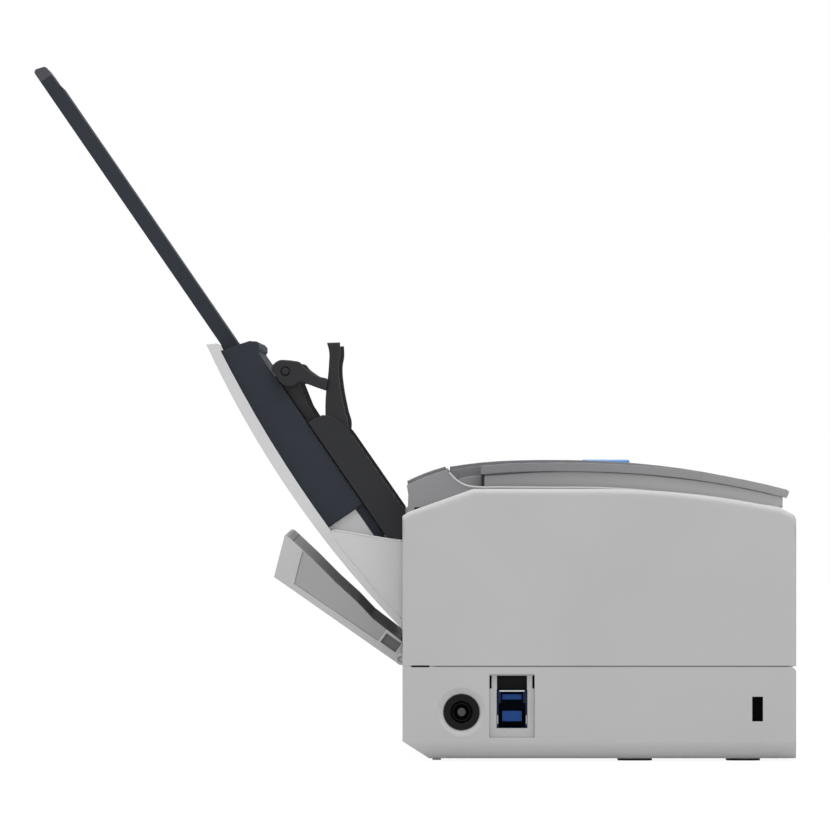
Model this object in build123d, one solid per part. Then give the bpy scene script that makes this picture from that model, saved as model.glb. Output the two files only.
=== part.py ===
from build123d import *
import math
import os

# Document scanner with a folding rear chute, in millimetres.
# +X is the front, +Z is up, and the near side is -Y.
# The origin is the middle of the footprint, on the surface that it stands on.

# Overall body
body_depth = 110.0
paper_width = 216.0
side_room = 40.0
body_width = paper_width + 2 * side_room
foot_height = 0.9
parting_height = 26.7
rim_height = 76.2
wall = 2.2
front_x = body_depth / 2
rear_x = -body_depth / 2
half_width = body_width / 2

# Side housings and side frames
housing_depth = 14.0
frame_thickness = 2.0
frame_inner = half_width - 28.5
frame_outer = frame_inner + frame_thickness
housing_inner = half_width - housing_depth
floor_top = foot_height + wall
cheek_low = rim_height - 9.2

# Clearances
running_gap = 0.05
moving_gap = 0.4

# Chute, in its own frame: s runs up the slope, t stands square to the paper bed
pivot_inset = 9.3
pivot_height = rim_height - 19.2
pivot_x = rear_x + pivot_inset
chute_slope = 55.5
chute_half_width = frame_inner - 3.5
chute_top = body_depth - 24.2
chute_bottom = -11.4
shell_depth = 23.5
shell_crown = 4.15
shell_thickness = 3.2
bed_top = chute_top - 3.8
guide_pinion_s = bed_top / 2 - 1.0
bed_low = guide_pinion_s - 16.0
bed_end = -6.0
bed_surface = -8.6
bed_skin = 2.2
bed_half_width = chute_half_width - 2.0
chute_pin_radius = 3.0

# Extension
extension_reach = 97.0
extension_overlap = 10.0
extension_thickness = 4.2
extension_bottom = -16.7
extension_half_width = 30.0
extension_tip_length = 3.0
extension_lip_length = 7.0
extension_lip_step = 0.4
extension_tip_slant = 1.2

# Paper side guides with their racks
guide_inner = paper_width / 2 + 0.2
guide_thickness = 2.6
guide_pinion_teeth = 18
guide_module = 1.0
rack_bottom = -19.2
rack_thickness = 1.9

# Paper path, rollers and gears
path_height = 30.0
nip_gap = 0.5
shaft_radius = 3.0
gear_module = 1.0
gear_width = 6.0
gear_start = frame_outer + 1.5
feed_roller_x = rear_x + 31.0
feed_roller_radius = 7.0
idler_radius = 5.6
turn_roller_x = front_x - 20.0
turn_roller_radius = 14.7
turn_centre_z = 45.5
pinch_radius = 5.4
pick_roller_radius = 8.0
pick_offset_x = -13.2
separation_radius = 6.6
eject_x = pivot_x + 18.7
eject_z = pivot_height - 4.0
eject_radius = 6.0

# Rear flap
flap_pivot_x = rear_x - 0.4
flap_pivot_z = parting_height + 1.5
flap_barrel_radius = 1.6
flap_angle = 145.0
flap_length = 47.6
flap_half_width = chute_half_width
flap_pin_radius = 0.8

# Top cover
cover_half_width = half_width - 15.5
dish_half_width = chute_half_width + 2.0
channel_inner = guide_inner - 3.0
cover_pivot_x = rear_x + 18.0
cover_pivot_z = rim_height - 3.2
cover_pin_radius = 1.5
dish_clearance = 4.8
close_angle = 121.0


def prism(outline, y_low, y_high):
    """Solid between two Y planes, from an outline of (x, z) points."""
    plane = Plane(origin=(0, y_high, 0), x_dir=(1, 0, 0), z_dir=(0, -1, 0))
    face = plane * make_face(Polyline(*outline, close=True))
    return extrude(face, y_high - y_low, dir=(0, -1, 0))


def slab(x_low, x_high, y_low, y_high, z_low, z_high):
    """Box between two corners."""
    centre = Pos((x_low + x_high) / 2, (y_low + y_high) / 2, (z_low + z_high) / 2)
    return centre * Box(x_high - x_low, y_high - y_low, z_high - z_low)


def rod(x, z, radius, y_low, y_high):
    """Round bar along Y."""
    return Pos(x, (y_low + y_high) / 2, z) * Rot(90, 0, 0) * Cylinder(radius, y_high - y_low)


def ring(x, z, outer, inner, y_low, y_high):
    """Round sleeve along Y."""
    return rod(x, z, outer, y_low, y_high) - rod(x, z, inner, y_low - 1, y_high + 1)


def both_sides(solid):
    """The solid and its mirror image on the other side."""
    return [solid, mirror(solid, about=Plane.XZ)]


def group(solids):
    """Separate solids that share a node."""
    return Compound(children=list(solids))


def meeting_point(first, first_radius, second, second_radius):
    """Upper point at the two given distances from two centres."""
    dx = second[0] - first[0]
    dz = second[1] - first[1]
    span = math.hypot(dx, dz)
    along = (first_radius**2 - second_radius**2 + span**2) / (2 * span)
    across = math.sqrt(first_radius**2 - along**2)
    x = first[0] + (dx * along - dz * across) / span
    z = first[1] + (dz * along + dx * across) / span
    return (x, z)


# The slope direction u and the bed's normal n, in the rest pose
slope = math.radians(chute_slope)
u_x = -math.cos(slope)
u_z = math.sin(slope)
n_x = math.sin(slope)
n_z = math.cos(slope)
chute_frame = Plane(origin=(pivot_x, 0, pivot_height), x_dir=(u_x, 0, u_z), z_dir=(n_x, 0, n_z))


def on_chute(solid):
    """Places a solid from the chute's frame; the near side is +Y there."""
    return chute_frame.location * solid


parts = {}


# Lower casing
def base_outline(inset):
    """Side view of the base; inset is the wall taken off all round."""
    low = foot_height + inset
    return [
        (rear_x + inset, parting_height),
        (rear_x + inset, foot_height + 4.9 + inset * 0.4),
        (rear_x + 7.5 + inset * 0.4, low),
        (front_x - inset, low),
        (front_x - inset, parting_height),
    ]


dc_x = rear_x + 16.5
dc_z = 13.9
dc_radius = 5.0
port_x = rear_x + 30.6
port_half_width = 6.3
port_low = 6.8
port_high = 24.4
lock_x = front_x - 10.8
lock_z = 14.75
lock_width = 3.0
lock_height = 6.9
screw_line = half_width - 38.0
screw_places = []
for screw_x, screw_y in ((rear_x + 15, screw_line - 10), (8, screw_line), (front_x - 11, screw_line - 2)):
    screw_places += [(screw_x, screw_y), (screw_x, -screw_y)]


lug_end = chute_half_width + 6.0
board_x_low = rear_x + 8.0
board_x_high = front_x - 19.0
board_low = port_low - 1.6
board_thickness = 1.6
board_y_low = -half_width + wall + 1.0
board_y_high = -frame_outer - 2.0


def board_posts():
    posts = []
    for x in (board_x_low + 4, board_x_high - 4):
        for y in (board_y_low + 4, board_y_high - 4):
            posts.append(Pos(x, y, (floor_top + board_low) / 2) * Cylinder(2, board_low - floor_top))
    return posts


def base_shell():
    body = prism(base_outline(0), -half_width, half_width)
    long_edges = [
        e
        for e in body.edges().filter_by(Axis.X)
        if e.center().Z < foot_height + 0.1 and abs(abs(e.center().Y) - half_width) < 0.1
    ]
    body = fillet(long_edges, 4.6)
    body -= prism([(x, z + 1 if z == parting_height else z) for x, z in base_outline(wall)],
                  -half_width + wall, half_width - wall)
    groove = 1.2
    top = body.faces().sort_by(Axis.Z)[-1]
    front_edges = [e for e in top.outer_wire().edges() if abs(e.center().X - front_x) < 0.1]
    body = chamfer(front_edges, groove)
    near = -half_width
    body -= rod(dc_x, dc_z, dc_radius + 1.7, near - 1, near + 0.8)
    body -= rod(dc_x, dc_z, dc_radius, near - 1, near + wall + 1)
    body -= slab(port_x - port_half_width, port_x + port_half_width, near - 1, near + wall + 1,
                 port_low, port_high)
    body -= slab(lock_x - lock_width / 2, lock_x + lock_width / 2, near - 1, near + wall + 1,
                 lock_z - lock_height / 2, lock_z + lock_height / 2)
    for x, y in screw_places:
        body += Pos(x, y, (floor_top + floor_top + 7) / 2) * Cylinder(4, 7)
        body -= Pos(x, y, floor_top) * Cylinder(1.25, 30)
        body -= Pos(x, y, foot_height) * Cylinder(2.6, 3.2)
    body -= prism([
        (rear_x - 1, parting_height - groove - 1), (rear_x + groove + 1, parting_height + 1),
        (rear_x - 1, parting_height + 1),
    ], -lug_end - moving_gap, lug_end + moving_gap)
    for post in board_posts():
        body += post
    for x_low, x_high in ((front_x - 70.1, front_x - 51.8), (front_x - 37.6, front_x - 19.6)):
        body += slab(x_low, x_high, -screw_line, screw_line, foot_height - 0.5, foot_height + 0.2)
    for side in (-1, 1):
        middle = side * (half_width - 30)
        body += slab(rear_x + 8.4, rear_x + 10.8, middle - 6, middle + 6, 0, foot_height + 0.4)
    return body


def screws():
    heads = []
    for x, y in screw_places:
        head = Pos(x, y, foot_height + 0.9) * Cylinder(2.4, 1.2)
        cross = Pos(x, y, foot_height + 0.5)
        head -= cross * Box(3, 0.6, 0.8)
        head -= cross * Box(0.6, 3, 0.8)
        shank = Pos(x, y, foot_height + 1.5 + 3.2) * Cylinder(1.25, 6.4)
        heads.append(head + shank)
    return group(heads)


def rubber_feet():
    feet = []
    for x_low, x_high in ((front_x - 49.6, front_x - 40.0), (front_x - 19.1, front_x - 9.7)):
        foot = slab(x_low, x_high, half_width - 32, half_width - 16, 0, foot_height)
        foot = fillet(foot.edges().filter_by(Axis.Z), 2.5)
        feet += both_sides(foot)
    return group(feet)


parts["base_shell"] = base_shell()
parts["case_screws"] = screws()
parts["rubber_feet"] = rubber_feet()


# Upper side housings
def side_face(inset):
    """Side view of a side housing, with the crown as an arc."""
    plane = Plane(origin=(0, 0, 0), x_dir=(1, 0, 0), z_dir=(0, -1, 0))
    top = rim_height
    edges = Polyline(
        (0, top), (rear_x + 19.8, top), (rear_x + 1.8, top - 6.4), (rear_x, top - 7.6),
        (rear_x, parting_height), (front_x, parting_height), (front_x, top - 8.4),
        (front_x - 0.6, top - 7.2), (front_x - 4.4, top - 5.3),
    )
    crown = ThreePointArc((front_x - 4.4, top - 5.3), ((front_x - 4.4) / 2, top - 5.3 / 4), (0, top))
    face = make_face(Wire(edges.edges() + crown.edges()))
    if inset > 0:
        face = offset(face, amount=-inset, kind=Kind.INTERSECTION)
    return plane * face


def side_housing():
    """Near housing: outer wall with returns along its top, front and rear."""
    shift = Pos(0, -half_width, 0)
    body = extrude(shift * side_face(0), housing_depth, dir=(0, 1, 0))
    hollow = Pos(0, -half_width + wall, 0) * side_face(wall)
    body -= extrude(hollow, housing_depth, dir=(0, 1, 0))
    body -= slab(rear_x + wall, front_x - wall, -half_width + wall, -housing_inner + 1,
                 parting_height - 1, parting_height + wall + 1)
    pillar = slab(rear_x, rear_x + wall, -housing_inner, -chute_half_width - 1.2,
                  parting_height, cheek_low)
    lug = rod(flap_pivot_x, flap_pivot_z, flap_barrel_radius, -chute_half_width - 6,
              -chute_half_width - 1.2)
    body = body + pillar + lug
    body -= rod(flap_pivot_x, flap_pivot_z, flap_pin_radius + running_gap, -chute_half_width - 7,
                -chute_half_width)
    rim_edges = [
        e
        for e in body.edges()
        if abs(e.center().Y + half_width) < 0.01 and e.center().Z > rim_height - 8
    ]
    return fillet(rim_edges, 1.4)


near_housing = side_housing()
parts["side_housing_near"] = near_housing
parts["side_housing_far"] = mirror(near_housing, about=Plane.XZ)

front_slot_low = parting_height
front_slot_high = path_height + 3.4
front_slot_half = paper_width / 2 + 2
front_top = rim_height - 8.6


def front_panel():
    inner = housing_inner
    body = slab(front_x - wall, front_x, -inner, inner, parting_height, front_top)
    body += slab(front_x - 8, front_x - wall, -inner, inner, front_top - wall, front_top)
    body = fillet(body.edges().filter_by(Axis.Y).sort_by(Axis.Z)[-2:].sort_by(Axis.X)[-1:], 1.4)
    body -= slab(front_x - wall - 1, front_x + 1, -front_slot_half, front_slot_half,
                 front_slot_low - 1, front_slot_high)
    return body


parts["front_panel"] = front_panel()


# Roller places, worked out from the gear sizes so that the train meshes
feed_teeth = 20
pick_teeth = 28
turn_teeth = 28
motor_teeth = 18
feed_z = path_height - nip_gap / 2 - feed_roller_radius
feed_place = (feed_roller_x, feed_z)
feed_idler_place = (feed_roller_x, path_height + nip_gap / 2 + idler_radius)
pick_reach = gear_module * (pick_teeth + feed_teeth) / 2
pick_place = (
    feed_roller_x + pick_offset_x,
    feed_z + math.sqrt(pick_reach**2 - pick_offset_x**2),
)
nip_lean = math.radians(20)
nip_reach = pick_roller_radius + separation_radius + nip_gap
separation_place = (
    pick_place[0] - nip_reach * math.sin(nip_lean),
    pick_place[1] - nip_reach * math.cos(nip_lean),
)
turn_place = (turn_roller_x, turn_centre_z)
pinch_place = (
    turn_roller_x,
    turn_centre_z - turn_roller_radius - nip_gap - pinch_radius,
)
motor_lean = math.radians(20)
motor_reach = gear_module * (feed_teeth + motor_teeth) / 2
motor_place = (
    feed_place[0] + motor_reach * math.cos(motor_lean),
    feed_place[1] + motor_reach * math.sin(motor_lean),
)
motor_to_turn = math.hypot(turn_place[0] - motor_place[0], turn_place[1] - motor_place[1])
idler_teeth = math.ceil(motor_to_turn / gear_module - (motor_teeth + turn_teeth) / 2) + 2
idler_place = meeting_point(
    motor_place, gear_module * (motor_teeth + idler_teeth) / 2,
    turn_place, gear_module * (idler_teeth + turn_teeth) / 2,
)


# Gears
gear_backlash = 0.2
pressure_angle = math.radians(20)
flank_steps = 5


def gear_outline(teeth, module):
    """Involute outline, tooth 0 centred on the +X axis."""
    pitch = teeth * module / 2
    base = pitch * math.cos(pressure_angle)
    tip = pitch + module
    root = pitch - 1.25 * module
    involute_at_pitch = math.tan(pressure_angle) - pressure_angle
    half_tooth = math.pi / (2 * teeth) - gear_backlash / (4 * pitch)
    low = max(base, root)
    points = []
    for tooth in range(teeth):
        middle = 2 * math.pi * tooth / teeth
        flank = []
        for step in range(flank_steps + 1):
            radius = low + (tip - low) * step / flank_steps
            angle = math.acos(min(1, base / radius))
            flank.append((radius, half_tooth + involute_at_pitch - math.tan(angle) + angle))
        if root < low:
            flank.insert(0, (root, flank[0][1]))
        for radius, angle in flank:
            points.append((radius * math.cos(middle - angle), radius * math.sin(middle - angle)))
        for radius, angle in reversed(flank):
            points.append((radius * math.cos(middle + angle), radius * math.sin(middle + angle)))
    return points


def gear(place, teeth, turn_degrees, bore):
    """Spur gear with a hub, turned so that it meshes at rest."""
    turn = math.radians(turn_degrees)
    outline = [
        (
            place[0] + x * math.cos(turn) - z * math.sin(turn),
            place[1] + x * math.sin(turn) + z * math.cos(turn),
        )
        for x, z in gear_outline(teeth, gear_module)
    ]
    body = prism(outline, gear_start, gear_start + gear_width)
    pitch = teeth * gear_module / 2
    if pitch > 11:
        web = ring(place[0], place[1], pitch - 3, bore + 2.4, gear_start + 3.5, gear_start + gear_width + 1)
        body -= web
    return body - rod(place[0], place[1], bore, gear_start - 1, gear_start + gear_width + 1)


def direction(first, second):
    """Angle in degrees of the line between two shaft centres."""
    return math.degrees(math.atan2(second[1] - first[1], second[0] - first[0]))


def mesh_turn(own_place, own_teeth, other_place, other_teeth, other_turn):
    """Turn of a gear whose gap meets the other gear's tooth on the centre line."""
    toward_own = direction(other_place, own_place)
    phase = (toward_own - other_turn) * other_teeth / own_teeth
    return toward_own + 180 - 180 / own_teeth + phase


turn_gear_turn = 0.0
idler_turn = mesh_turn(idler_place, idler_teeth, turn_place, turn_teeth, turn_gear_turn)
motor_turn = mesh_turn(motor_place, motor_teeth, idler_place, idler_teeth, idler_turn)
feed_turn = mesh_turn(feed_place, feed_teeth, motor_place, motor_teeth, motor_turn)
pick_turn = mesh_turn(pick_place, pick_teeth, feed_place, feed_teeth, feed_turn)

stub_radius = 2.0
motor_shaft_radius = 1.5
parts["idler_gear"] = gear(idler_place, idler_teeth, idler_turn, stub_radius + running_gap)
parts["feed_gear"] = gear(feed_place, feed_teeth, feed_turn, shaft_radius)
parts["pick_gear"] = gear(pick_place, pick_teeth, pick_turn, shaft_radius)


# Shafts and rollers
bush_outer = shaft_radius + 1.5
shaft_end_near = -frame_outer - 0.8
shaft_end_far = gear_start + gear_width + 1.0
driven_places = {"pick": pick_place, "feed": feed_place, "turn": turn_place}


def driven_shaft(place):
    """Steel shaft from the near bush through the far bush to its gear."""
    body = rod(place[0], place[1], shaft_radius, shaft_end_near, shaft_end_far)
    return chamfer(body.edges().filter_by(GeomType.CIRCLE), 0.4)


def tyres(place, radius, inner, middles, width):
    """Rubber sleeves at the given distances along the shaft."""
    sleeves = []
    for middle in middles:
        sleeve = ring(place[0], place[1], radius, inner, middle - width / 2, middle + width / 2)
        outer_edges = [e for e in sleeve.edges().filter_by(GeomType.CIRCLE) if e.radius > inner + 0.1]
        sleeves.append(chamfer(outer_edges, 0.5))
    return group(sleeves)


for name, place in driven_places.items():
    parts[name + "_shaft"] = driven_shaft(place)
ear_inner = paper_width / 2 - 9.0
tyre_outer = ear_inner - 24.0
tyre_inner = 0.36 * tyre_outer
tyre_middles = (-tyre_outer, -tyre_inner, tyre_inner, tyre_outer)
pinch_end = frame_outer - 0.2
parts["pick_roller"] = tyres(pick_place, pick_roller_radius, shaft_radius, (-14, 14), 20)
parts["feed_roller"] = tyres(feed_place, feed_roller_radius, shaft_radius, tyre_middles, 16)
parts["turn_roller"] = tyres(turn_place, turn_roller_radius, shaft_radius, tyre_middles, 14)


axle_radius = 2.0


def idle_roller(place, radius, middles, width):
    """Plastic roller set moulded on its own thin axle, which turns in the frames."""
    body = rod(place[0], place[1], axle_radius, -pinch_end, pinch_end)
    for middle in middles:
        body += rod(place[0], place[1], radius, middle - width / 2, middle + width / 2)
    return body


parts["separation_roller"] = idle_roller(separation_place, separation_radius, (-14, 14), 20)
parts["feed_idler"] = idle_roller(feed_idler_place, idler_radius, tyre_middles, 16)
parts["pinch_roller"] = idle_roller(pinch_place, pinch_radius, tyre_middles, 14)

# The eject shaft runs inside the turn, between two ears, and a flat belt drives it
ear_thickness = 3.0
belt_y = ear_inner - 7.0
belt_width = 5.0
belt_thickness = 1.0
belt_gap = 0.08
turn_pulley_radius = 7.0
eject_pulley_radius = 4.6


def eject_roller():
    body = rod(eject_x, eject_z, 2.5, -ear_inner - ear_thickness, ear_inner + ear_thickness)
    for middle in (-60, -20, 20, 60):
        body += rod(eject_x, eject_z, eject_radius, middle - 7, middle + 7)
    pulley = rod(eject_x, eject_z, eject_pulley_radius, belt_y - belt_width / 2 - 0.5,
                 belt_y + belt_width / 2 + 0.5)
    return body + pulley


def turn_pulley():
    low = belt_y - belt_width / 2 - 0.5
    return ring(turn_place[0], turn_place[1], turn_pulley_radius, shaft_radius, low, low + belt_width + 1)


def belt_loop(extra):
    """Outline of an open belt round both pulleys, grown by extra."""
    centre_a = Vector(turn_place[0], turn_place[1])
    centre_b = Vector(eject_x, eject_z)
    r_a = turn_pulley_radius + belt_gap + extra
    r_b = eject_pulley_radius + belt_gap + extra
    line = centre_b - centre_a
    base = math.atan2(line.Y, line.X)
    lean = math.acos((r_a - r_b) / line.length)
    tangent = []
    for sign in (1, -1):
        angle = base + sign * lean
        normal = Vector(math.cos(angle), math.sin(angle))
        tangent.append((centre_a + normal * r_a, centre_b + normal * r_b))
    back = Vector(math.cos(base + math.pi), math.sin(base + math.pi))
    ahead = Vector(math.cos(base), math.sin(base))
    edges = [
        Line(tangent[0][0], tangent[0][1]),
        ThreePointArc(tangent[0][1], centre_b + ahead * r_b, tangent[1][1]),
        Line(tangent[1][1], tangent[1][0]),
        ThreePointArc(tangent[1][0], centre_a + back * r_a, tangent[0][0]),
    ]
    return make_face(Wire([e.edge() for e in edges]))


def drive_belt():
    plane = Plane(origin=(0, belt_y + belt_width / 2, 0), x_dir=(1, 0, 0), z_dir=(0, -1, 0))
    ring_face = belt_loop(belt_thickness) - belt_loop(0)
    return extrude(plane * ring_face, belt_width, dir=(0, -1, 0))


parts["eject_roller"] = eject_roller()
parts["turn_gears"] = group([gear(turn_place, turn_teeth, turn_gear_turn, shaft_radius), turn_pulley()])
parts["drive_belt"] = drive_belt()


# Side frames with their bushes
frame_low = floor_top
frame_high = pivot_height + 8.0
frame_step = turn_centre_z + 4.5
frame_front_high = turn_centre_z + 16.5
flange_depth = 8.0
flange_rear_x = feed_roller_x - 8.0
flange_front_x = feed_roller_x + 8.0


def frame_outline():
    return [
        (rear_x + wall + 0.4, frame_low + 5.5), (rear_x + 9.5, frame_low),
        (front_x - wall - 0.4, frame_low),
        (front_x - wall - 0.4, frame_front_high), (turn_roller_x - 15, frame_front_high),
        (turn_roller_x - 25, frame_step), (pivot_x + 13.7, frame_step),
        (pivot_x + 7.7, frame_high), (rear_x + wall + 0.4, frame_high),
    ]


def side_frame(side):
    """Pressed steel plate, with a foot flange, that carries every shaft on one side."""
    y_low = min(side * frame_inner, side * frame_outer)
    y_high = y_low + frame_thickness
    body = prism(frame_outline(), y_low, y_high)
    flange_end = side * (frame_inner - flange_depth)
    body += slab(flange_rear_x, flange_front_x, min(y_low, flange_end), max(y_high, flange_end),
                 frame_low, frame_low + frame_thickness)
    for place in driven_places.values():
        body -= rod(place[0], place[1], bush_outer, y_low - 1, y_high + 1)
    for place in (separation_place, feed_idler_place, pinch_place):
        body -= rod(place[0], place[1], axle_radius + running_gap, y_low - 1, y_high + 1)
    body -= rod(pivot_x, pivot_height, chute_pin_radius + running_gap, y_low - 1, y_high + 1)
    return body


def idler_stub():
    """Fixed pin on the far frame, with a head, that the idler gear turns on."""
    x, z = idler_place
    end = gear_start + gear_width
    head = rod(x, z, stub_radius + 1.2, end + 0.3, end + 1)
    return rod(x, z, stub_radius, frame_inner + 0.2, end + 0.6) + head


def bushes():
    rings = []
    for place in driven_places.values():
        sleeve = ring(place[0], place[1], bush_outer, shaft_radius + running_gap,
                      frame_inner, frame_outer)
        rings += both_sides(sleeve)
    return group(rings)


parts["side_frames"] = group([side_frame(-1), side_frame(1) + idler_stub()])
parts["shaft_bushes"] = bushes()


# Motor outboard of the gears, on a bracket held by two posts
motor_radius = 12.0
bracket_y = gear_start + gear_width + 2.0
bracket_thickness = 1.6
post_offsets = ((-5.0, 16.0), (0.0, -16.0))


def motor_bracket():
    x, z = motor_place
    plate = slab(x - 14, x + 14, bracket_y, bracket_y + bracket_thickness, z - 20, z + 20)
    plate = fillet(plate.edges().filter_by(Axis.Y), 3)
    plate -= rod(x, z, motor_shaft_radius + 0.6, bracket_y - 1, bracket_y + 3)
    for shift_x, shift_z in post_offsets:
        plate += rod(x + shift_x, z + shift_z, 2.5, frame_outer, bracket_y)
    return plate


def drive_motor():
    x, z = motor_place
    start = bracket_y + bracket_thickness
    body = rod(x, z, motor_radius, start, half_width - wall - 0.6)
    body = fillet(body.edges().filter_by(GeomType.CIRCLE).sort_by(Axis.Y)[-1:], 1.2)
    return body


def motor_shaft():
    x, z = motor_place
    return rod(x, z, motor_shaft_radius, gear_start, bracket_y + bracket_thickness)


parts["motor_bracket"] = motor_bracket()
parts["drive_motor"] = drive_motor()
parts["motor_pinion"] = gear(motor_place, motor_teeth, motor_turn, motor_shaft_radius) + motor_shaft()


# Scan units, above and below the path
unit_half_depth = 12.0
unit_half_width = frame_inner
glass_thickness = 1.2
lower_unit_low = 12.0
upper_unit_high = 40.5
unit_wall = 1.6
path_half_gap = 0.7
sensor_half_depth = 7.0


def scan_unit(low, high, open_low):
    """Black moulded trough with its open face towards the path."""
    body = slab(-unit_half_depth, unit_half_depth, -unit_half_width, unit_half_width, low, high)
    body = fillet(body.edges().filter_by(Axis.Y), 0.8)
    if open_low:
        hollow_low, hollow_high = low - 1, high - unit_wall
    else:
        hollow_low, hollow_high = low + unit_wall, high + 1
    body -= slab(-unit_half_depth + unit_wall, unit_half_depth - unit_wall, -unit_half_width + unit_wall,
                 unit_half_width - unit_wall, hollow_low, hollow_high)
    return body


def scan_glass(z_low):
    reach = unit_half_depth - unit_wall
    return slab(-reach, reach, -unit_half_width + unit_wall, unit_half_width - unit_wall,
                z_low, z_low + glass_thickness)


def image_sensor(z_low, z_high):
    """Contact image sensor bar: the long body that the glass covers."""
    half_length = unit_half_width - 9.5
    return slab(-sensor_half_depth, sensor_half_depth, -half_length, half_length, z_low, z_high)


lower_unit_high = path_height - path_half_gap
upper_unit_low = path_height + path_half_gap
parts["scan_units"] = group([
    scan_unit(lower_unit_low, lower_unit_high, False),
    scan_unit(upper_unit_low, upper_unit_high, True),
])
parts["scan_glasses"] = group([
    scan_glass(lower_unit_high - glass_thickness), scan_glass(upper_unit_low)
])
parts["image_sensors"] = group([
    image_sensor(lower_unit_low + unit_wall, lower_unit_high - glass_thickness),
    image_sensor(upper_unit_low + glass_thickness, upper_unit_high - unit_wall),
])


# Paper guides
guide_sheet = 1.2
guide_low_z = path_height - 1.6
tyre_window = 20.0


def windows(body, place, half_length, z_low, z_high, middles, width):
    """Cuts a window for each tyre of a roller."""
    for middle in middles:
        body -= slab(place[0] - half_length, place[0] + half_length, middle - width / 2,
                     middle + width / 2, z_low, z_high)
    return body


def lower_guide_rear():
    """Sheet under the path, from the rear exit to the lower scan unit."""
    start = rear_x + wall + 1.2
    axle_rear = separation_place[0] - axle_radius - moving_gap
    axle_front = separation_place[0] + axle_radius + moving_gap
    lip = slab(start, axle_rear, -frame_inner, frame_inner, guide_low_z - guide_sheet, guide_low_z)
    lip = windows(lip, separation_place, separation_radius + 1.2, 0, 60, (-14, 14), 24)
    body = slab(axle_front, -unit_half_depth - 0.4, -frame_inner, frame_inner,
                guide_low_z - guide_sheet, guide_low_z)
    body = windows(body, feed_place, feed_roller_radius + 1, 0, 60, tyre_middles, tyre_window)
    return [lip, windows(body, separation_place, separation_radius + 1.2, 0, 60, (-14, 14), 24)]


def lower_guide_front():
    """Sheet under the path, from the lower scan unit to the front slot."""
    body = slab(unit_half_depth + 0.4, front_x - wall - 0.4, -frame_inner, frame_inner,
                guide_low_z - guide_sheet, guide_low_z)
    return windows(body, pinch_place, pinch_radius + 1, 0, 60, tyre_middles, tyre_window)


parts["lower_guides"] = group(lower_guide_rear() + [lower_guide_front()])

outer_turn_radius = 16.3
outer_turn_sheet = 1.2
inner_turn_radius = 13.2


def arc_sheet(centre, radius, thickness, start_degrees, end_degrees, half_length):
    """Curved sheet along Y, between two angles round a centre."""
    def at(r, degrees):
        angle = math.radians(degrees)
        return (centre[0] + r * math.cos(angle), centre[1] + r * math.sin(angle))

    middle = (start_degrees + end_degrees) / 2
    far = radius + thickness
    outer = ThreePointArc(at(far, start_degrees), at(far, middle), at(far, end_degrees))
    inner = ThreePointArc(at(radius, end_degrees), at(radius, middle), at(radius, start_degrees))
    edges = [outer, Line(outer @ 1, inner @ 0), inner, Line(inner @ 1, outer @ 0)]
    plane = Plane(origin=(0, half_length, 0), x_dir=(1, 0, 0), z_dir=(0, -1, 0))
    face = plane * make_face(Wire([e.edge() for e in edges]))
    return extrude(face, 2 * half_length, dir=(0, -1, 0))


parts["outer_turn_guide"] = arc_sheet(turn_place, outer_turn_radius, outer_turn_sheet, -44, 92,
                                      frame_inner)


def inner_turn_guide():
    """Sheet inside the turn, with a window for each tyre; its ends reach the side frames."""
    low = turn_centre_z - inner_turn_radius
    body = arc_sheet(turn_place, inner_turn_radius, 1.0, -96, 84, frame_inner)
    body += slab(unit_half_depth, turn_roller_x - 1, -frame_inner, frame_inner, low - 1.0, low + 0.2)
    for middle in tyre_middles:
        body -= slab(turn_roller_x - turn_roller_radius - 1, turn_roller_x + 20, middle - 9,
                     middle + 9, 20, 70)
    return body


parts["inner_turn_guide"] = inner_turn_guide()


def return_guide():
    """Sheet under the outgoing paper, with side ears that hold the eject shaft."""
    front_end = turn_roller_x - 2
    rear_end = eject_x - eject_radius - 3
    top_front = turn_centre_z + inner_turn_radius + 0.6
    top_rear = eject_z + eject_radius - 0.9
    sheet = prism([
        (front_end, top_front), (rear_end, top_rear),
        (rear_end, top_rear - guide_sheet), (front_end, top_front - guide_sheet),
    ], -ear_inner - ear_thickness, ear_inner + ear_thickness)
    for middle in (-60, -20, 20, 60):
        sheet -= slab(eject_x - eject_radius - 1, eject_x + eject_radius + 1, middle - 8.5,
                      middle + 8.5, 40, 70)
    for middle in tyre_middles:
        sheet -= slab(turn_roller_x - turn_roller_radius - 1, front_end + 1, middle - 9, middle + 9,
                      40, 70)
    sheet -= slab(rear_end + 1, front_end + 1, belt_y - 4.5, belt_y + 4.5, 40, 70)
    ear = prism([
        (rear_end, top_rear - 0.1), (rear_end, eject_z - 6), (-unit_half_depth, upper_unit_high),
        (unit_half_depth, upper_unit_high), (front_end - 14, top_front - 0.2),
    ], ear_inner, ear_inner + ear_thickness)
    ear -= rod(eject_x, eject_z, 2.5 + running_gap, ear_inner - 1, ear_inner + ear_thickness + 1)
    for half in both_sides(ear):
        sheet += half
    return sheet


parts["return_guide"] = return_guide()


# Electronics: main board with its sockets, on the near side
def main_board():
    body = slab(board_x_low, board_x_high, board_y_low, board_y_high, board_low,
                board_low + board_thickness)
    middle = (board_y_low + board_y_high) / 2
    top = board_low + board_thickness
    for x, y, length, width, height in (
        (-4, middle, 14, 14, 2), (20, middle, 10, 8, 1.6), (30, middle - 4, 6, 6, 4),
    ):
        body += slab(x - length / 2, x + length / 2, y - width / 2, y + width / 2, top, top + height)
    return body


dc_length = 14.0
dc_bore = 3.1
dc_pin_radius = 1.05


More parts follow.
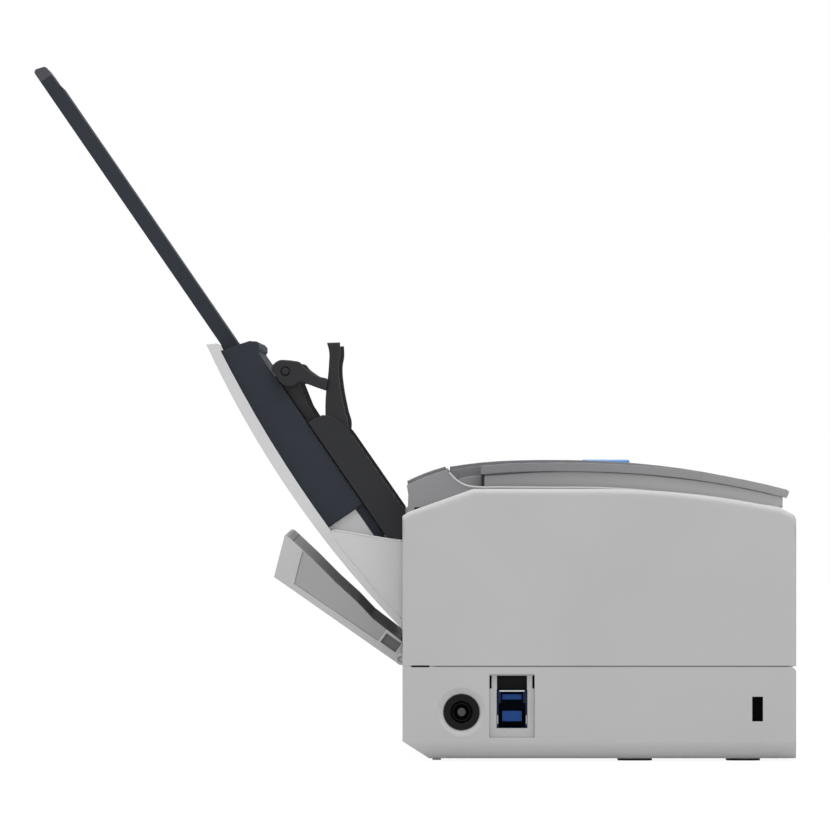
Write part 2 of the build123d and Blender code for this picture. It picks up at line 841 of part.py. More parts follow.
def dc_inlet():
    """Round power socket: a sleeve with a flange outside and a block behind it."""
    near = -half_width
    body = rod(dc_x, dc_z, dc_radius, near + 0.5, near + dc_length)
    body += slab(dc_x - 4.5, dc_x + 4.5, near + wall, near + dc_length, board_low + board_thickness,
                 dc_z + 4.5)
    body -= rod(dc_x, dc_z, dc_bore, near - 1, near + dc_length - 2)
    return body + rod(dc_x, dc_z, dc_pin_radius, near + 1.5, near + dc_length - 1)


port_socket_low = 9.6
port_socket_high = 20.0
port_socket_half = 4.2
port_depth = 16.0
port_bar_high = 9.4
shell_sheet = 0.45


def data_port():
    """Square data socket: metal shell with a stepped opening."""
    near = -half_width + 1.0
    body = slab(port_x - port_socket_half, port_x + port_socket_half, near, near + port_depth,
                port_low, port_socket_high)
    inside = port_socket_half - shell_sheet
    body -= slab(port_x - inside, port_x + inside, near - 1, near + port_depth - 2, port_socket_low,
                 port_socket_high - 3.6)
    inside = port_socket_half - 1.1
    body -= slab(port_x - inside, port_x + inside, near - 1, near + port_depth - 2, port_socket_low,
                 port_socket_high - shell_sheet)
    bar_room = wall + 0.1
    return body - slab(port_x - 5, port_x + 5, near - 1, near + bar_room, port_low - 1, port_bar_high + 0.1)


def port_tongues():
    """Blue insulating tongues in the socket."""
    near = -half_width + 2.0
    end = near + port_depth - 3.0
    low = slab(port_x - 2.75, port_x + 2.75, near, end, 11.3, 14.2)
    high = slab(port_x - 2.75, port_x + 2.75, near, end, 17.4, 18.9)
    return group([low, high])


def port_bezel():
    """Recessed surround of the socket, behind the casing's opening."""
    near = -half_width
    body = slab(port_x - port_half_width, port_x + port_half_width, near + 0.8, near + wall + 1.0,
                board_low + board_thickness, port_high)
    body -= slab(port_x - port_socket_half - 0.1, port_x + port_socket_half + 0.1, near - 1,
                 near + wall + 2, port_bar_high, port_socket_high + 0.1)
    body -= slab(port_x - port_socket_half, port_x + port_socket_half, near - 1, near + wall + 2,
                 port_socket_high - 0.1, port_high - 0.3)
    for side in (-1, 1):
        slit = port_x + side * (port_half_width - 0.3)
        body -= slab(slit - 0.3, slit + 0.3, near - 1, near + wall + 2, port_high - 3.9, port_high - 0.3)
    return body


def lock_plate():
    """Steel plate with the slot that takes a security lock."""
    near = -half_width + wall
    body = slab(lock_x - 6, lock_x + 6, near, near + 1.2, lock_z - 8, lock_z + 8)
    return body - slab(lock_x - lock_width / 2, lock_x + lock_width / 2, near - 1, near + 3,
                       lock_z - lock_height / 2, lock_z + lock_height / 2)


parts["main_board"] = main_board()
parts["dc_inlet"] = dc_inlet()
parts["data_port"] = data_port()
parts["port_tongues"] = port_tongues()
parts["port_bezel"] = port_bezel()
parts["lock_plate"] = lock_plate()


# Chute: white cover shell with gusset walls, in the chute's frame
shell_middle = (chute_top + chute_bottom) / 2
shell_end_t = -shell_depth + shell_crown
gusset_thickness = 3.0
gusset_inner = chute_half_width - gusset_thickness
pivot_boss_radius = 6.0
inner_low_t = shell_end_t + 1.7
inner_top_t = shell_end_t + 2.6


def shell_inner_arc():
    """Inner face of the shell, from its top end to its low end."""
    return ThreePointArc((chute_top - 1.4, inner_top_t), (shell_middle, shell_thickness - shell_depth),
                         (chute_bottom + 0.8, inner_low_t))


def extrude_across(edges, y_low, y_high):
    """Solid between two Y planes, from joined edges in the (x, z) plane."""
    plane = Plane(origin=(0, y_high, 0), x_dir=(1, 0, 0), z_dir=(0, -1, 0))
    face = plane * make_face(Wire([e.edge() for e in edges]))
    return extrude(face, y_high - y_low, dir=(0, -1, 0))


gusset_share = 0.34


def chute_cover():
    outer = ThreePointArc((chute_bottom, shell_end_t), (shell_middle, -shell_depth),
                          (chute_top, shell_end_t))
    inner = shell_inner_arc()
    tip = Line(outer @ 1, inner @ 0)
    heel = Line(inner @ 1, outer @ 0)
    body = extrude_across([outer, tip, inner, heel], -chute_half_width, chute_half_width)
    seam = ThreePointArc((chute_bottom + 0.7, shell_end_t + 1.0),
                         (shell_middle, shell_thickness / 2 - shell_depth),
                         (chute_top - 0.7, shell_end_t + 1.0))
    outline = [(bed_low - 1.3, -19.6), (bed_low - 9.7, -10.9), (8.6, -5.0), (5.4, -1.0), (-5.4, -1.0)]
    for step in range(8):
        point = seam @ (gusset_share * step / 7)
        outline.append((point.X, point.Y))
    gusset = prism(outline, gusset_inner, chute_half_width)
    gusset += rod(0, 0, pivot_boss_radius, gusset_inner, chute_half_width)
    gusset -= rod(0, 0, chute_pin_radius, gusset_inner - 1, chute_half_width + 1)
    for half in both_sides(gusset):
        body += half
    pinion_pin = Pos(guide_pinion_s, 0, (rack_bottom + rack_thickness + 0.3 - shell_depth + 1) / 2)
    body += pinion_pin * Cylinder(2.0, rack_bottom + rack_thickness + 0.3 + shell_depth - 1)
    return body


def chute_shaft():
    body = rod(0, 0, chute_pin_radius, -frame_outer - 0.8, frame_outer + 0.8)
    return chamfer(body.edges().filter_by(GeomType.CIRCLE), 0.4)


bed_wall = 2.0
post_s = guide_pinion_s + guide_module * guide_pinion_teeth / 2 + 1.6
post_length = 2.0
guide_travel = 72.0


def chute_bed():
    """Dark bed: a tray that is open to the shell, with a skin that runs down to the pick roller."""
    skin_low = bed_surface - bed_skin
    tail = slab(bed_end, bed_low + 1, -gusset_inner + moving_gap, gusset_inner - moving_gap,
                skin_low, bed_surface)
    block = prism([
        (bed_low, -shell_depth), (bed_top, -shell_depth), (bed_top, -16.9), (bed_top - 1.3, -11.8),
        (bed_top - 2.3, bed_surface), (bed_low, bed_surface),
    ], -bed_half_width, bed_half_width)
    cavity = slab(bed_low + bed_wall, bed_top - bed_wall - 1, -bed_half_width + bed_wall,
                  bed_half_width - bed_wall, -shell_depth - 1, skin_low)
    body = block - cavity + tail
    inner = shell_inner_arc()
    low = -shell_depth - 20
    under = [
        inner,
        Line(inner @ 1, (chute_bottom, low)),
        Line((chute_bottom, low), (chute_top, low)),
        Line((chute_top, low), inner @ 0),
    ]
    body -= extrude_across(under, -bed_half_width - 1, bed_half_width + 1)
    rail_inner = extension_half_width + moving_gap
    rail = slab(bed_low + bed_wall, bed_top - bed_wall, rail_inner, rail_inner + 1.4,
                extension_bottom - 0.3, skin_low)
    for half in both_sides(rail):
        body += half
    body -= slab(bed_low - 1, bed_top + 1, -rail_inner, rail_inner,
                 extension_bottom - moving_gap - 3, extension_bottom + extension_thickness + moving_gap)
    slot_start = guide_inner - guide_travel - 0.4
    slot_end = guide_inner + guide_thickness + 0.4
    near_slot = slab(post_s - 0.4, post_s + post_length + 0.4, slot_start, slot_end, skin_low - 1, 0)
    far_s = 2 * guide_pinion_s - post_s
    far_slot = slab(far_s - post_length - 0.4, far_s + 0.4, -slot_end, -slot_start, skin_low - 1, 0)
    body = body - near_slot - far_slot
    return body


def bed_bead():
    """Low bead across the top of the bed, a separate solid in the bed's node."""
    return prism([
        (bed_top - 6.1, bed_surface), (bed_top - 5.7, bed_surface + 0.8), (bed_top - 4.6, bed_surface + 1.5),
        (bed_top - 3.5, bed_surface + 1.4), (bed_top - 2.4, bed_surface),
    ], -bed_half_width, bed_half_width)


def extension():
    start = bed_top - extension_overlap
    end = bed_top + extension_reach - extension_tip_length
    high = extension_bottom + extension_thickness
    body = slab(start, end, -extension_half_width, extension_half_width, extension_bottom, high)
    for low_s in range(int(start) + 4, int(end) - 22, 24):
        body -= slab(low_s, low_s + 21, -extension_half_width + 3, extension_half_width - 3,
                     extension_bottom - 1, high - 1.6)
    lip_start = bed_top + extension_reach - extension_lip_length
    body -= slab(lip_start, end + 1, -extension_half_width - 1, extension_half_width + 1,
                 high - extension_lip_step, high + 1)
    return body


def extension_tip():
    """End of the bar, slanted so that its underside is longer."""
    end = bed_top + extension_reach
    start = end - extension_tip_length
    high = extension_bottom + extension_thickness - extension_lip_step
    body = prism([
        (start, extension_bottom), (end + extension_tip_slant, extension_bottom), (end, high), (start, high),
    ], -extension_half_width, extension_half_width)
    return fillet(body.edges().filter_by(Axis.Y).sort_by(Axis.X)[-2:], 1.0)


parts["chute_cover"] = on_chute(chute_cover())
parts["chute_shaft"] = on_chute(chute_shaft())
parts["chute_bed"] = on_chute(group([chute_bed(), bed_bead()]))
parts["extension"] = on_chute(extension())
parts["extension_tip"] = on_chute(extension_tip())


# Side guides on the bed, each with its rack, lever and strut; the near side is +Y here
lever_s = bed_top - 36.3
lever_t = -2.1
lever_pin_radius = 1.5
strut_s = bed_top - 15.0
strut_t = -5.3
strut_pin_radius = 1.0
lever_y = guide_inner + guide_thickness + moving_gap
lever_thickness = 2.6
strut_y = lever_y + lever_thickness + 0.8
strut_thickness = 1.8
guide_low = bed_surface + moving_gap
rack_pitch = math.pi * guide_module
rack_line = guide_module * guide_pinion_teeth / 2


def rack(side):
    """Toothed bar for one guide; side is +1 up the slope from the pinion, -1 below it."""
    tooth_half = rack_pitch / 4 - gear_backlash / 4
    tip_half = tooth_half - guide_module * math.tan(pressure_angle)
    root_half = tooth_half + 1.25 * guide_module * math.tan(pressure_angle)
    tip = rack_line - guide_module
    root = rack_line + 1.25 * guide_module
    back = root + 3.0
    low_tooth = -2
    high_tooth = int((guide_inner - 2) / rack_pitch)
    points = [(back, low_tooth * rack_pitch)]
    for tooth in range(low_tooth, high_tooth):
        middle = (tooth + 0.5) * rack_pitch
        points += [(root, middle - root_half), (tip, middle - tip_half),
                   (tip, middle + tip_half), (root, middle + root_half)]
    points += [(root, guide_inner + guide_thickness), (back, guide_inner + guide_thickness)]
    placed = [(guide_pinion_s + side * s, side * y) for s, y in points]
    face = make_face(Polyline(*placed, close=True))
    return Pos(0, 0, rack_bottom) * extrude(face, rack_thickness, dir=(0, 0, 1))


skin_gap = 0.15
skin_thickness = 0.6


def guide_body(side):
    """Hollow fin with its leg, foot and pins, and the post that goes down to the rack."""
    fin_end = lever_s + 5.7
    ledge_end = lever_s - 4.1
    skin_start = lever_thickness + moving_gap + skin_gap
    outline = [
        (9.0, -4.6), (12.2, guide_low), (fin_end, guide_low), (fin_end, -5.7), (fin_end - 0.5, -3.6),
        (fin_end - 2.3, -1.5), (fin_end - 5.4, -0.2), (ledge_end, 0.1), (15.3, 0.2),
    ]
    fin = prism(outline, guide_inner, guide_inner + guide_thickness)
    fin += prism(outline, guide_inner + guide_thickness + skin_start,
                 guide_inner + guide_thickness + skin_start + skin_thickness)
    fin += prism([
        (fin_end - 0.4, guide_low), (strut_s, guide_low), (strut_s, -3.4), (strut_s - 4.8, -3.9),
        (strut_s - 11.5, -5.4), (fin_end - 0.4, -5.5),
    ], guide_inner, guide_inner + guide_thickness)
    outer = guide_inner + guide_thickness
    fin += rod(strut_s, strut_t, 2.8, guide_inner, outer)
    fin += rod(strut_s, strut_t, strut_pin_radius, outer - 1, strut_y + strut_thickness + 0.4)
    fin += rod(lever_s, lever_t, lever_pin_radius, outer - 1, lever_y + lever_thickness + 0.3)
    fin += prism([(14.0, -1.2), (ledge_end - 0.2, -1.2), (ledge_end, 0.1), (15.3, 0.2)],
                 outer - 1, outer + skin_start + 0.3)
    fin += slab(14, fin_end - 1.4, outer - 1, outer + skin_start + 0.3, guide_low, guide_low + 1.5)
    if side < 0:
        fin = mirror(fin, about=Plane.XZ)
        post_low = 2 * guide_pinion_s - post_s - post_length
        fin += slab(post_low, post_low + post_length, -outer, -guide_inner, rack_bottom, guide_low + 1)
    else:
        fin += slab(post_s, post_s + post_length, guide_inner, outer, rack_bottom, guide_low + 1)
    return fin + rack(side)


def lever(side):
    """Support for the delivered sheets, on the pin at the fin's upper end."""
    outline = [
        (21.3, 8.9), (19.2, 12.0), (16.8, 10.5), (14.3, 8.1), (9.7, 5.4), (3.2, 2.5), (-2.2, 0.0),
        (-1.7, -3.6), (4.9, -2.8), (13.7, 4.1), (18.9, 8.0),
    ]
    body = prism([(lever_s + s, t) for s, t in outline], lever_y, lever_y + lever_thickness)
    body += rod(lever_s, lever_t, 3.1, lever_y, lever_y + lever_thickness)
    body -= rod(lever_s, lever_t, lever_pin_radius + running_gap, lever_y - 1, lever_y + 5)
    return body if side > 0 else mirror(body, about=Plane.XZ)


def strut(side):
    """Prop beside the lever, on the pin at the head of the guide's leg."""
    outline = [
        (2.8, -4.4), (1.8, -2.9), (0.4, -1.4), (-1.4, -0.3), (-3.8, 0.2), (-6.0, 1.3), (-8.4, 3.3),
        (-11.2, 1.2), (-8.8, -0.6), (-6.3, -2.4), (-4.6, -3.7), (-4.2, -5.4), (-2.6, -7.2), (0.0, -8.0),
        (2.2, -7.0),
    ]
    body = prism([(strut_s + s, t) for s, t in outline], strut_y, strut_y + strut_thickness)
    body += rod(strut_s, strut_t, 2.8, strut_y, strut_y + strut_thickness)
    body -= rod(strut_s, strut_t, strut_pin_radius + running_gap, strut_y - 1, strut_y + 5)
    return body if side > 0 else mirror(body, about=Plane.XZ)


def guide_pinion():
    face = make_face(Polyline(*gear_outline(guide_pinion_teeth, guide_module), close=True))
    body = Pos(guide_pinion_s, 0, rack_bottom) * extrude(face, rack_thickness, dir=(0, 0, 1))
    return body - Pos(guide_pinion_s, 0, rack_bottom) * Cylinder(2.0 + running_gap, 20)


for side_name, side in (("near", 1), ("far", -1)):
    parts["side_guide_" + side_name] = on_chute(guide_body(side))
    parts["lever_" + side_name] = on_chute(lever(side))
    parts["strut_" + side_name] = on_chute(strut(side))
parts["guide_pinion"] = on_chute(guide_pinion())


# Rear flap, in its own frame: a runs from the pivot to the free edge, b stands square to the skin
flap_skin = 1.8
flap_wall = 2.0
flap_recess = 0.8
flap_lean = math.radians(flap_angle)
flap_frame = Plane(
    origin=(flap_pivot_x, 0, flap_pivot_z),
    x_dir=(math.cos(flap_lean), 0, math.sin(flap_lean)),
    z_dir=(math.sin(flap_lean), 0, -math.cos(flap_lean)),
)
flap_outer = -flap_barrel_radius
flap_depth = 10.0


def on_flap(solid):
    return flap_frame.location * solid


def rear_flap():
    """Outer skin with side walls and an end wall, on a barrel along its lower edge."""
    end = flap_length - 0.8
    outline = [
        (0, flap_outer), (end - 4.2, flap_outer), (end, flap_depth - 0.4), (end - 0.9, flap_depth),
        (end - 10.7, 8.6), (end - 19.6, 7.0), (end - 27.5, 6.0), (end - 33.8, 4.7), (2.7, 4.2), (0.4, 1.4),
    ]
    body = prism(outline, -flap_half_width, flap_half_width)
    recess = prism([
        (8.3, 0.5), (end - 10.0, 0.1), (end - 9.4, 1.7), (end - 7.4, 6.9), (end - 6.0, flap_depth + 1),
        (8.3, flap_depth + 1),
    ], flap_half_width - flap_recess, flap_half_width + 1)
    pocket = slab(2.4, 7.5, flap_half_width - flap_wall - 1, flap_half_width + 1, 0.6, 3.6)
    for cut in both_sides(recess + pocket):
        body -= cut
    body += rod(0, 0, flap_barrel_radius, -flap_half_width - 0.9, flap_half_width + 0.9)
    hollow = [
        (1.9, flap_outer + flap_skin), (end - 5.6, flap_outer + flap_skin),
        (end - 1.8, flap_depth + 3), (1.9, flap_depth + 3),
    ]
    body -= prism(hollow, -flap_half_width + flap_wall, flap_half_width - flap_wall)
    body -= rod(0, 0, flap_pin_radius, -flap_half_width - 1, -flap_half_width + 14)
    body -= rod(0, 0, flap_pin_radius, flap_half_width - 14, flap_half_width + 1)
    return body


def flap_inner_guide():
    """Grey panel that closes the flap's hollow and carries a card on its way out."""
    end = flap_length - 0.8
    half = flap_half_width - flap_wall
    sheet = 1.2
    top = [(2.9, 4.1), (end - 33.8, 4.7), (end - 27.5, 6.0), (end - 19.6, 7.0), (end - 10.7, 8.6),
           (end - 3.0, 9.7)]
    under = [(a, b - sheet) for a, b in reversed(top)]
    body = prism(top + under, -half, half)
    for middle in (-80, -40, 0, 40, 80):
        body += prism([(2.9, flap_outer + flap_skin), (end - 6.4, flap_outer + flap_skin),
                       (end - 5.2, 8.0), (end - 19.6, 6.4), (2.9, 3.2)], middle - 0.8, middle + 0.8)
    return body


def flap_pins():
    pin = rod(0, 0, flap_pin_radius, flap_half_width - 14, flap_half_width + 5.6)
    return group(both_sides(pin))


parts["rear_flap"] = on_flap(rear_flap())
parts["flap_inner_guide"] = on_flap(flap_inner_guide())
parts["flap_pins"] = on_flap(flap_pins())


# Grey cheeks on both sides of the chute's pivot; they hold the cover's hinge pins
cheek_inner = frame_outer + 0.4
cheek_front = cover_pivot_x + 2.3


def cheek():
    top = rim_height + 5.3
    edges = [
        Line((cheek_front, cheek_low), (cheek_front, top - 5.0)),
        ThreePointArc((cheek_front, top - 5.0), (cheek_front - 4.5, top - 3.4), (cheek_front - 7.8, top)),
        Spline((cheek_front - 7.8, top), (cheek_front - 13.4, top - 1.8), (rear_x + 1.2, top - 4.3)),
        Line((rear_x + 1.2, top - 4.3), (rear_x + 1.6, top - 6.8)),
        Line((rear_x + 1.6, top - 6.8), (rear_x + 1.4, cheek_low)),
        Line((rear_x + 1.4, cheek_low), (cheek_front, cheek_low)),
    ]
    body = extrude_across(edges, cheek_inner, housing_inner)
    return body - rod(cover_pivot_x, cover_pivot_z, cover_pin_radius, cheek_inner - 1, cheek_inner + 8)


cheek_far = cheek()
parts["rear_cheeks"] = group(both_sides(cheek_far))
parts["cover_pins"] = group(both_sides(
    rod(cover_pivot_x, cover_pivot_z, cover_pin_radius, dish_half_width + 0.3, cheek_inner + 8)
))

# Top cover: grey plate with a lip, a dish for the folded chute, and a recessed skirt
plate_thickness = 2.4
dish_floor_sheet = 2.0
dish_front_x = pivot_x + chute_top + 0.9
dish_wall = 2.0
channel_front_x = pivot_x + bed_top - 10.3
skirt_thickness = 1.6
skirt_inset = 1.5
skirt_low = rim_height - 5.3
tongue_outer = frame_outer - 0.1
tongue_front_x = cover_pivot_x + 4.0
notch_half = extension_half_width + 4.0
notch_floor = rim_height - 2.0
plate_height = rim_height + 6.9
plate_top = [
    (rear_x + 13.9, plate_height - 1.6), (rear_x + 25.2, plate_height - 0.2), (-13.0, plate_height + 0.4),
    (5.7, plate_height), (front_x - 20.8, plate_height - 3.1), (front_x - 2.3, plate_height - 7.1),
]
lip_x = front_x - 1.5


def plate_edges(drop):
    """Top line of the plate, lowered by drop."""
    points = [(x, z - drop) for x, z in plate_top]
    return Spline(*points)


def plate_solid(y_low, y_high, depth):
    upper = plate_edges(0)
    lower = plate_edges(depth)
    edges = [
        upper,
        Line(upper @ 1, (lip_x, plate_top[-1][1] - 0.6)),
        Line((lip_x, plate_top[-1][1] - 0.6), lower @ 1),
        lower,
        Line(lower @ 0, upper @ 0),
    ]
    return extrude_across(edges, y_low, y_high)


def under_plate(x_low, x_high, y_low, y_high, low_z):
    """Wall from a level up into the plate."""
    above = plate_height + 20
    ahead = front_x + 10
    body = slab(x_low, x_high, y_low, y_high, low_z, plate_height + 5)
    edges = [
        plate_edges(plate_thickness - 0.4),
        Line((plate_top[-1][0], plate_top[-1][1] - plate_thickness + 0.4), (ahead, skirt_low)),
        Line((ahead, skirt_low), (ahead, above)),
        Line((ahead, above), (-ahead, above)),
        Line((-ahead, above), (plate_top[0][0], plate_top[0][1] - plate_thickness + 0.4)),
    ]
    return body - extrude_across(edges, y_low - 1, y_high + 1)


def dish_height(x):
    """Height of the dish's floor, which lies along the folded chute."""
    tilt = math.radians(180 - chute_slope - close_angle)
    return pivot_height + (x - pivot_x) * math.tan(tilt) + dish_clearance / math.cos(tilt)


def floor_sheet(x_low, x_high, y_low, y_high):
    return prism([
        (x_low, dish_height(x_low)), (x_high, dish_height(x_high)),
        (x_high, dish_height(x_high) - dish_floor_sheet), (x_low, dish_height(x_low) - dish_floor_sheet),
    ], y_low, y_high)


dish_rear_x = pivot_x + 11.7
button_low_x = -1.8
button_high_x = 12.5
button_low_y = dish_half_width + 3.5
button_high_y = button_low_y + 7.5
button_gap = 0.25


def top_cover():
    body = plate_solid(-cover_half_width, cover_half_width, plate_thickness)
    low = pivot_height
    high = plate_height + 10
    body -= slab(rear_x, dish_front_x, -dish_half_width, dish_half_width, low, high)
    for side in (-1, 1):
        ends = sorted((side * tongue_outer, side * half_width))
        body -= slab(rear_x, tongue_front_x, ends[0], ends[1], low, high)
    body += floor_sheet(channel_front_x, dish_front_x + dish_wall, -dish_half_width - dish_wall,
                        dish_half_width + dish_wall)
    body += floor_sheet(dish_rear_x, channel_front_x + 1, -channel_inner, channel_inner)
    body += under_plate(dish_front_x, dish_front_x + dish_wall, -dish_half_width - dish_wall,
                        dish_half_width + dish_wall, dish_height(dish_front_x) - dish_floor_sheet)
    skirt_outer = cover_half_width - skirt_inset
    body += under_plate(lip_x - 3.5, lip_x - 1.9, -skirt_outer, skirt_outer, skirt_low)
    for side in (-1, 1):
        inner = side * dish_half_width
        outer = side * (dish_half_width + dish_wall)
        body += under_plate(tongue_front_x, dish_front_x + dish_wall, min(inner, outer),
                            max(inner, outer), dish_height(dish_rear_x) + 4)
        ear_end = side * tongue_outer
        body += under_plate(cover_pivot_x - 4.0, tongue_front_x + 1, min(inner, ear_end),
                            max(inner, ear_end), cover_pivot_z - 3.4)
        skirt_low_y = min(side * skirt_outer, side * (skirt_outer - skirt_thickness))
        body += under_plate(tongue_front_x + 1.0, lip_x - 1.9, skirt_low_y,
                            skirt_low_y + skirt_thickness, skirt_low)
    body -= slab(dish_front_x - 1, front_x + 5, -notch_half, notch_half, notch_floor, high)
    body -= rod(cover_pivot_x, cover_pivot_z, cover_pin_radius + running_gap, -cover_half_width,
                cover_half_width)
    body -= slab(button_low_x - button_gap, button_high_x + button_gap, button_low_y - button_gap,
                 button_high_y + button_gap, low, high)
    return body


parts["top_cover"] = top_cover()

# Blue scan button in the far border of the cover, with its spring and switch
button_proud = 0.5
button_travel = 1.0
button_top = plate_height + button_proud
switch_high = button_top - 7.6
shelf_z = switch_high - 4.0


def scan_button():
    cap = slab(button_low_x, button_high_x, button_low_y, button_high_y, button_top - 3.6, button_top)
    cap = fillet(cap.edges().filter_by(Axis.Z), 1.5)
    cap = fillet(cap.faces().sort_by(Axis.Z)[-1].edges(), 0.6)
    middle_x = (button_low_x + button_high_x) / 2
    middle_y = (button_low_y + button_high_y) / 2
    stem_low = switch_high + button_travel + 0.3
    stem = Pos(middle_x, middle_y, (stem_low + button_top - 3) / 2) * Cylinder(
        1.2, button_top - 3 - stem_low)
    flange = slab(button_low_x - 1.2, button_high_x + 1.2, button_low_y, button_high_y,
                  button_top - 4.6, button_top - 3.6)
    return cap + stem + flange


def button_switch():
    middle_x = (button_low_x + button_high_x) / 2
    middle_y = (button_low_y + button_high_y) / 2
    board = slab(middle_x - 12, middle_x + 12, dish_half_width + dish_wall,
                 cover_half_width - skirt_inset - skirt_thickness, shelf_z, shelf_z + 1.6)
    switch = slab(middle_x - 3, middle_x + 3, middle_y - 3, middle_y + 3, shelf_z + 1.5, switch_high - 1)
    plunger = Pos(middle_x, middle_y, switch_high - 0.6) * Cylinder(1.0, 1.2)
    return board + switch + plunger


def button_spring():
    """Coil spring between the switch and the button's cap."""
    middle_x = (button_low_x + button_high_x) / 2
    middle_y = (button_low_y + button_high_y) / 2
    low = switch_high - 1 + 0.25
    length = button_top - 4.6 - 0.25 - low
    path = Helix(pitch=length / 3, height=length, radius=2.1)
    wire = Plane(origin=path @ 0, z_dir=path % 0) * Circle(0.2)
    coil = sweep(wire, path=path, is_frenet=True)
    return Pos(middle_x, middle_y, low) * coil


parts["scan_button"] = scan_button()
parts["button_switch"] = button_switch()
parts["button_spring"] = button_spring()


os.makedirs("parts", exist_ok=True)
for name, shape in parts.items():
    export_step(shape, f"parts/{name}.step")
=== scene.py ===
import math

import bpy
from mathutils import Matrix, Vector


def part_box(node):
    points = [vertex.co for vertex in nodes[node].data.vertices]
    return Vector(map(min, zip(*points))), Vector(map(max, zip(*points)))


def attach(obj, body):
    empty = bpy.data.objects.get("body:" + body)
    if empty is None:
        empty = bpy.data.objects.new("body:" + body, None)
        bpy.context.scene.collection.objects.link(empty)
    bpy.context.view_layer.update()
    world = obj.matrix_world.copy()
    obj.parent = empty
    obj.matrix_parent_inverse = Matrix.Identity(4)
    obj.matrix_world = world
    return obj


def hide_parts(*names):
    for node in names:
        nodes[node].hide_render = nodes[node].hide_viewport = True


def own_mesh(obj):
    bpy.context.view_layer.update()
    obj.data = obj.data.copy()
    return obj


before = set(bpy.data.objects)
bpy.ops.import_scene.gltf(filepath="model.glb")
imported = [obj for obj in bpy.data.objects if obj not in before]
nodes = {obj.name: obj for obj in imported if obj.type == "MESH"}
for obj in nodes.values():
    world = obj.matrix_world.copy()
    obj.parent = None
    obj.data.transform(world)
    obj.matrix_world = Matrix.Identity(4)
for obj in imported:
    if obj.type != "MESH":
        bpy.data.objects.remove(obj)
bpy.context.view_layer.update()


# Camera, square on to the near side and level with the middle of the picture.
# A long lens from four metres, as for a catalogue picture.
picture_scale = 3.58            # picture points per millimetre at the near side
picture_points = 830
view_middle_x = -0.0515
view_middle_z = 0.0969
camera_distance = 4.0
near_side_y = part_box("base_shell")[0].y

camera_data = bpy.data.cameras.new("camera")
camera = bpy.data.objects.new("camera", camera_data)
bpy.context.scene.collection.objects.link(camera)
camera.location = (view_middle_x, near_side_y - camera_distance, view_middle_z)
camera.rotation_euler = (math.radians(90), 0, 0)
picture_width = picture_points / picture_scale / 1000
camera_data.sensor_width = 36
camera_data.lens = camera_data.sensor_width * camera_distance / picture_width
camera_data.clip_end = 30
bpy.context.scene.camera = camera
bpy.context.scene.view_settings.view_transform = "Standard"


# Floor of matt white paint, in a studio with white walls.
# It takes little of its brightness from the lamps, so it stays white to the eye but keeps the scanner's
# soft shadow.
floor_size = 12.0
paint_share = 0.22
paint_white = 0.74
glow_level = 0.92


def linear(hex_colour):
    """Linear colour of an sRGB hex value."""
    values = []
    for start in (1, 3, 5):
        value = int(hex_colour[start:start + 2], 16) / 255
        values.append(value / 12.92 if value <= 0.04045 else ((value + 0.055) / 1.055) ** 2.4)
    return (*values, 1.0)


def add_node(tree, kind, inputs=None, **settings):
    """Adds a node with its settings; each input is a number, a colour or another node's output."""
    made = tree.nodes.new(kind)
    for key, value in settings.items():
        setattr(made, key, value)
    for key, value in (inputs or {}).items():
        if isinstance(value, bpy.types.NodeSocket):
            tree.links.new(value, made.inputs[key])
        else:
            made.inputs[key].default_value = value
    return made


def new_material(name):
    """An empty material and its node tree."""
    material = bpy.data.materials.new(name)
    material.use_nodes = True
    material.node_tree.nodes.clear()
    return material, material.node_tree


def seen_ray(tree):
    """1 for the rays that show the background: camera, glossy and transmission rays."""
    path = add_node(tree, "ShaderNodeLightPath")
    seen = add_node(tree, "ShaderNodeMath", {
        0: path.outputs["Is Camera Ray"], 1: path.outputs["Is Glossy Ray"]}, operation="MAXIMUM")
    seen = add_node(tree, "ShaderNodeMath", {
        0: seen.outputs[0], 1: path.outputs["Is Transmission Ray"]}, operation="MAXIMUM")
    return seen.outputs[0]


# The paint is matt, so that it shows no reflection of the scanner.
floor_material, tree = new_material("matt_white_floor_paint")
seen = seen_ray(tree)
paint_seen = add_node(tree, "ShaderNodeMapRange", {"Value": seen, "To Min": 1.0, "To Max": paint_share})
paint_colour = add_node(tree, "ShaderNodeVectorMath", {
    0: (paint_white, paint_white, paint_white), 3: paint_seen.outputs[0]}, operation="SCALE")
paint = add_node(tree, "ShaderNodeBsdfDiffuse", {"Color": paint_colour.outputs[0], "Roughness": 0.5})
glow_seen = add_node(tree, "ShaderNodeMath", {0: seen, 1: glow_level}, operation="MULTIPLY")
glow = add_node(tree, "ShaderNodeEmission", {"Color": (1, 1, 1, 1), "Strength": glow_seen.outputs[0]})
added = add_node(tree, "ShaderNodeAddShader", {0: paint.outputs[0], 1: glow.outputs[0]})
add_node(tree, "ShaderNodeOutputMaterial", {"Surface": added.outputs[0]})

half = floor_size / 2
floor_mesh = bpy.data.meshes.new("floor")
floor_mesh.from_pydata([(-half, -half, 0), (half, -half, 0), (half, half, 0), (-half, half, 0)], [],
                       [(0, 1, 2, 3)])
floor_mesh.materials.append(floor_material)
floor = bpy.data.objects.new("floor", floor_mesh)
bpy.context.scene.collection.objects.link(floor)


# Studio walls: white paper all round, evenly lit.
# They are dimmer as a light than they are to the eye.
wall_light = 0.5

world = bpy.data.worlds.new("studio")
bpy.context.scene.world = world
world.use_nodes = True
tree = world.node_tree
tree.nodes.clear()
strength = add_node(tree, "ShaderNodeMapRange", {
    "Value": seen_ray(tree), "To Min": wall_light, "To Max": 1.0})
background = add_node(tree, "ShaderNodeBackground", {"Color": (1, 1, 1, 1), "Strength": strength.outputs[0]})
add_node(tree, "ShaderNodeOutputWorld", {"Surface": background.outputs[0]})


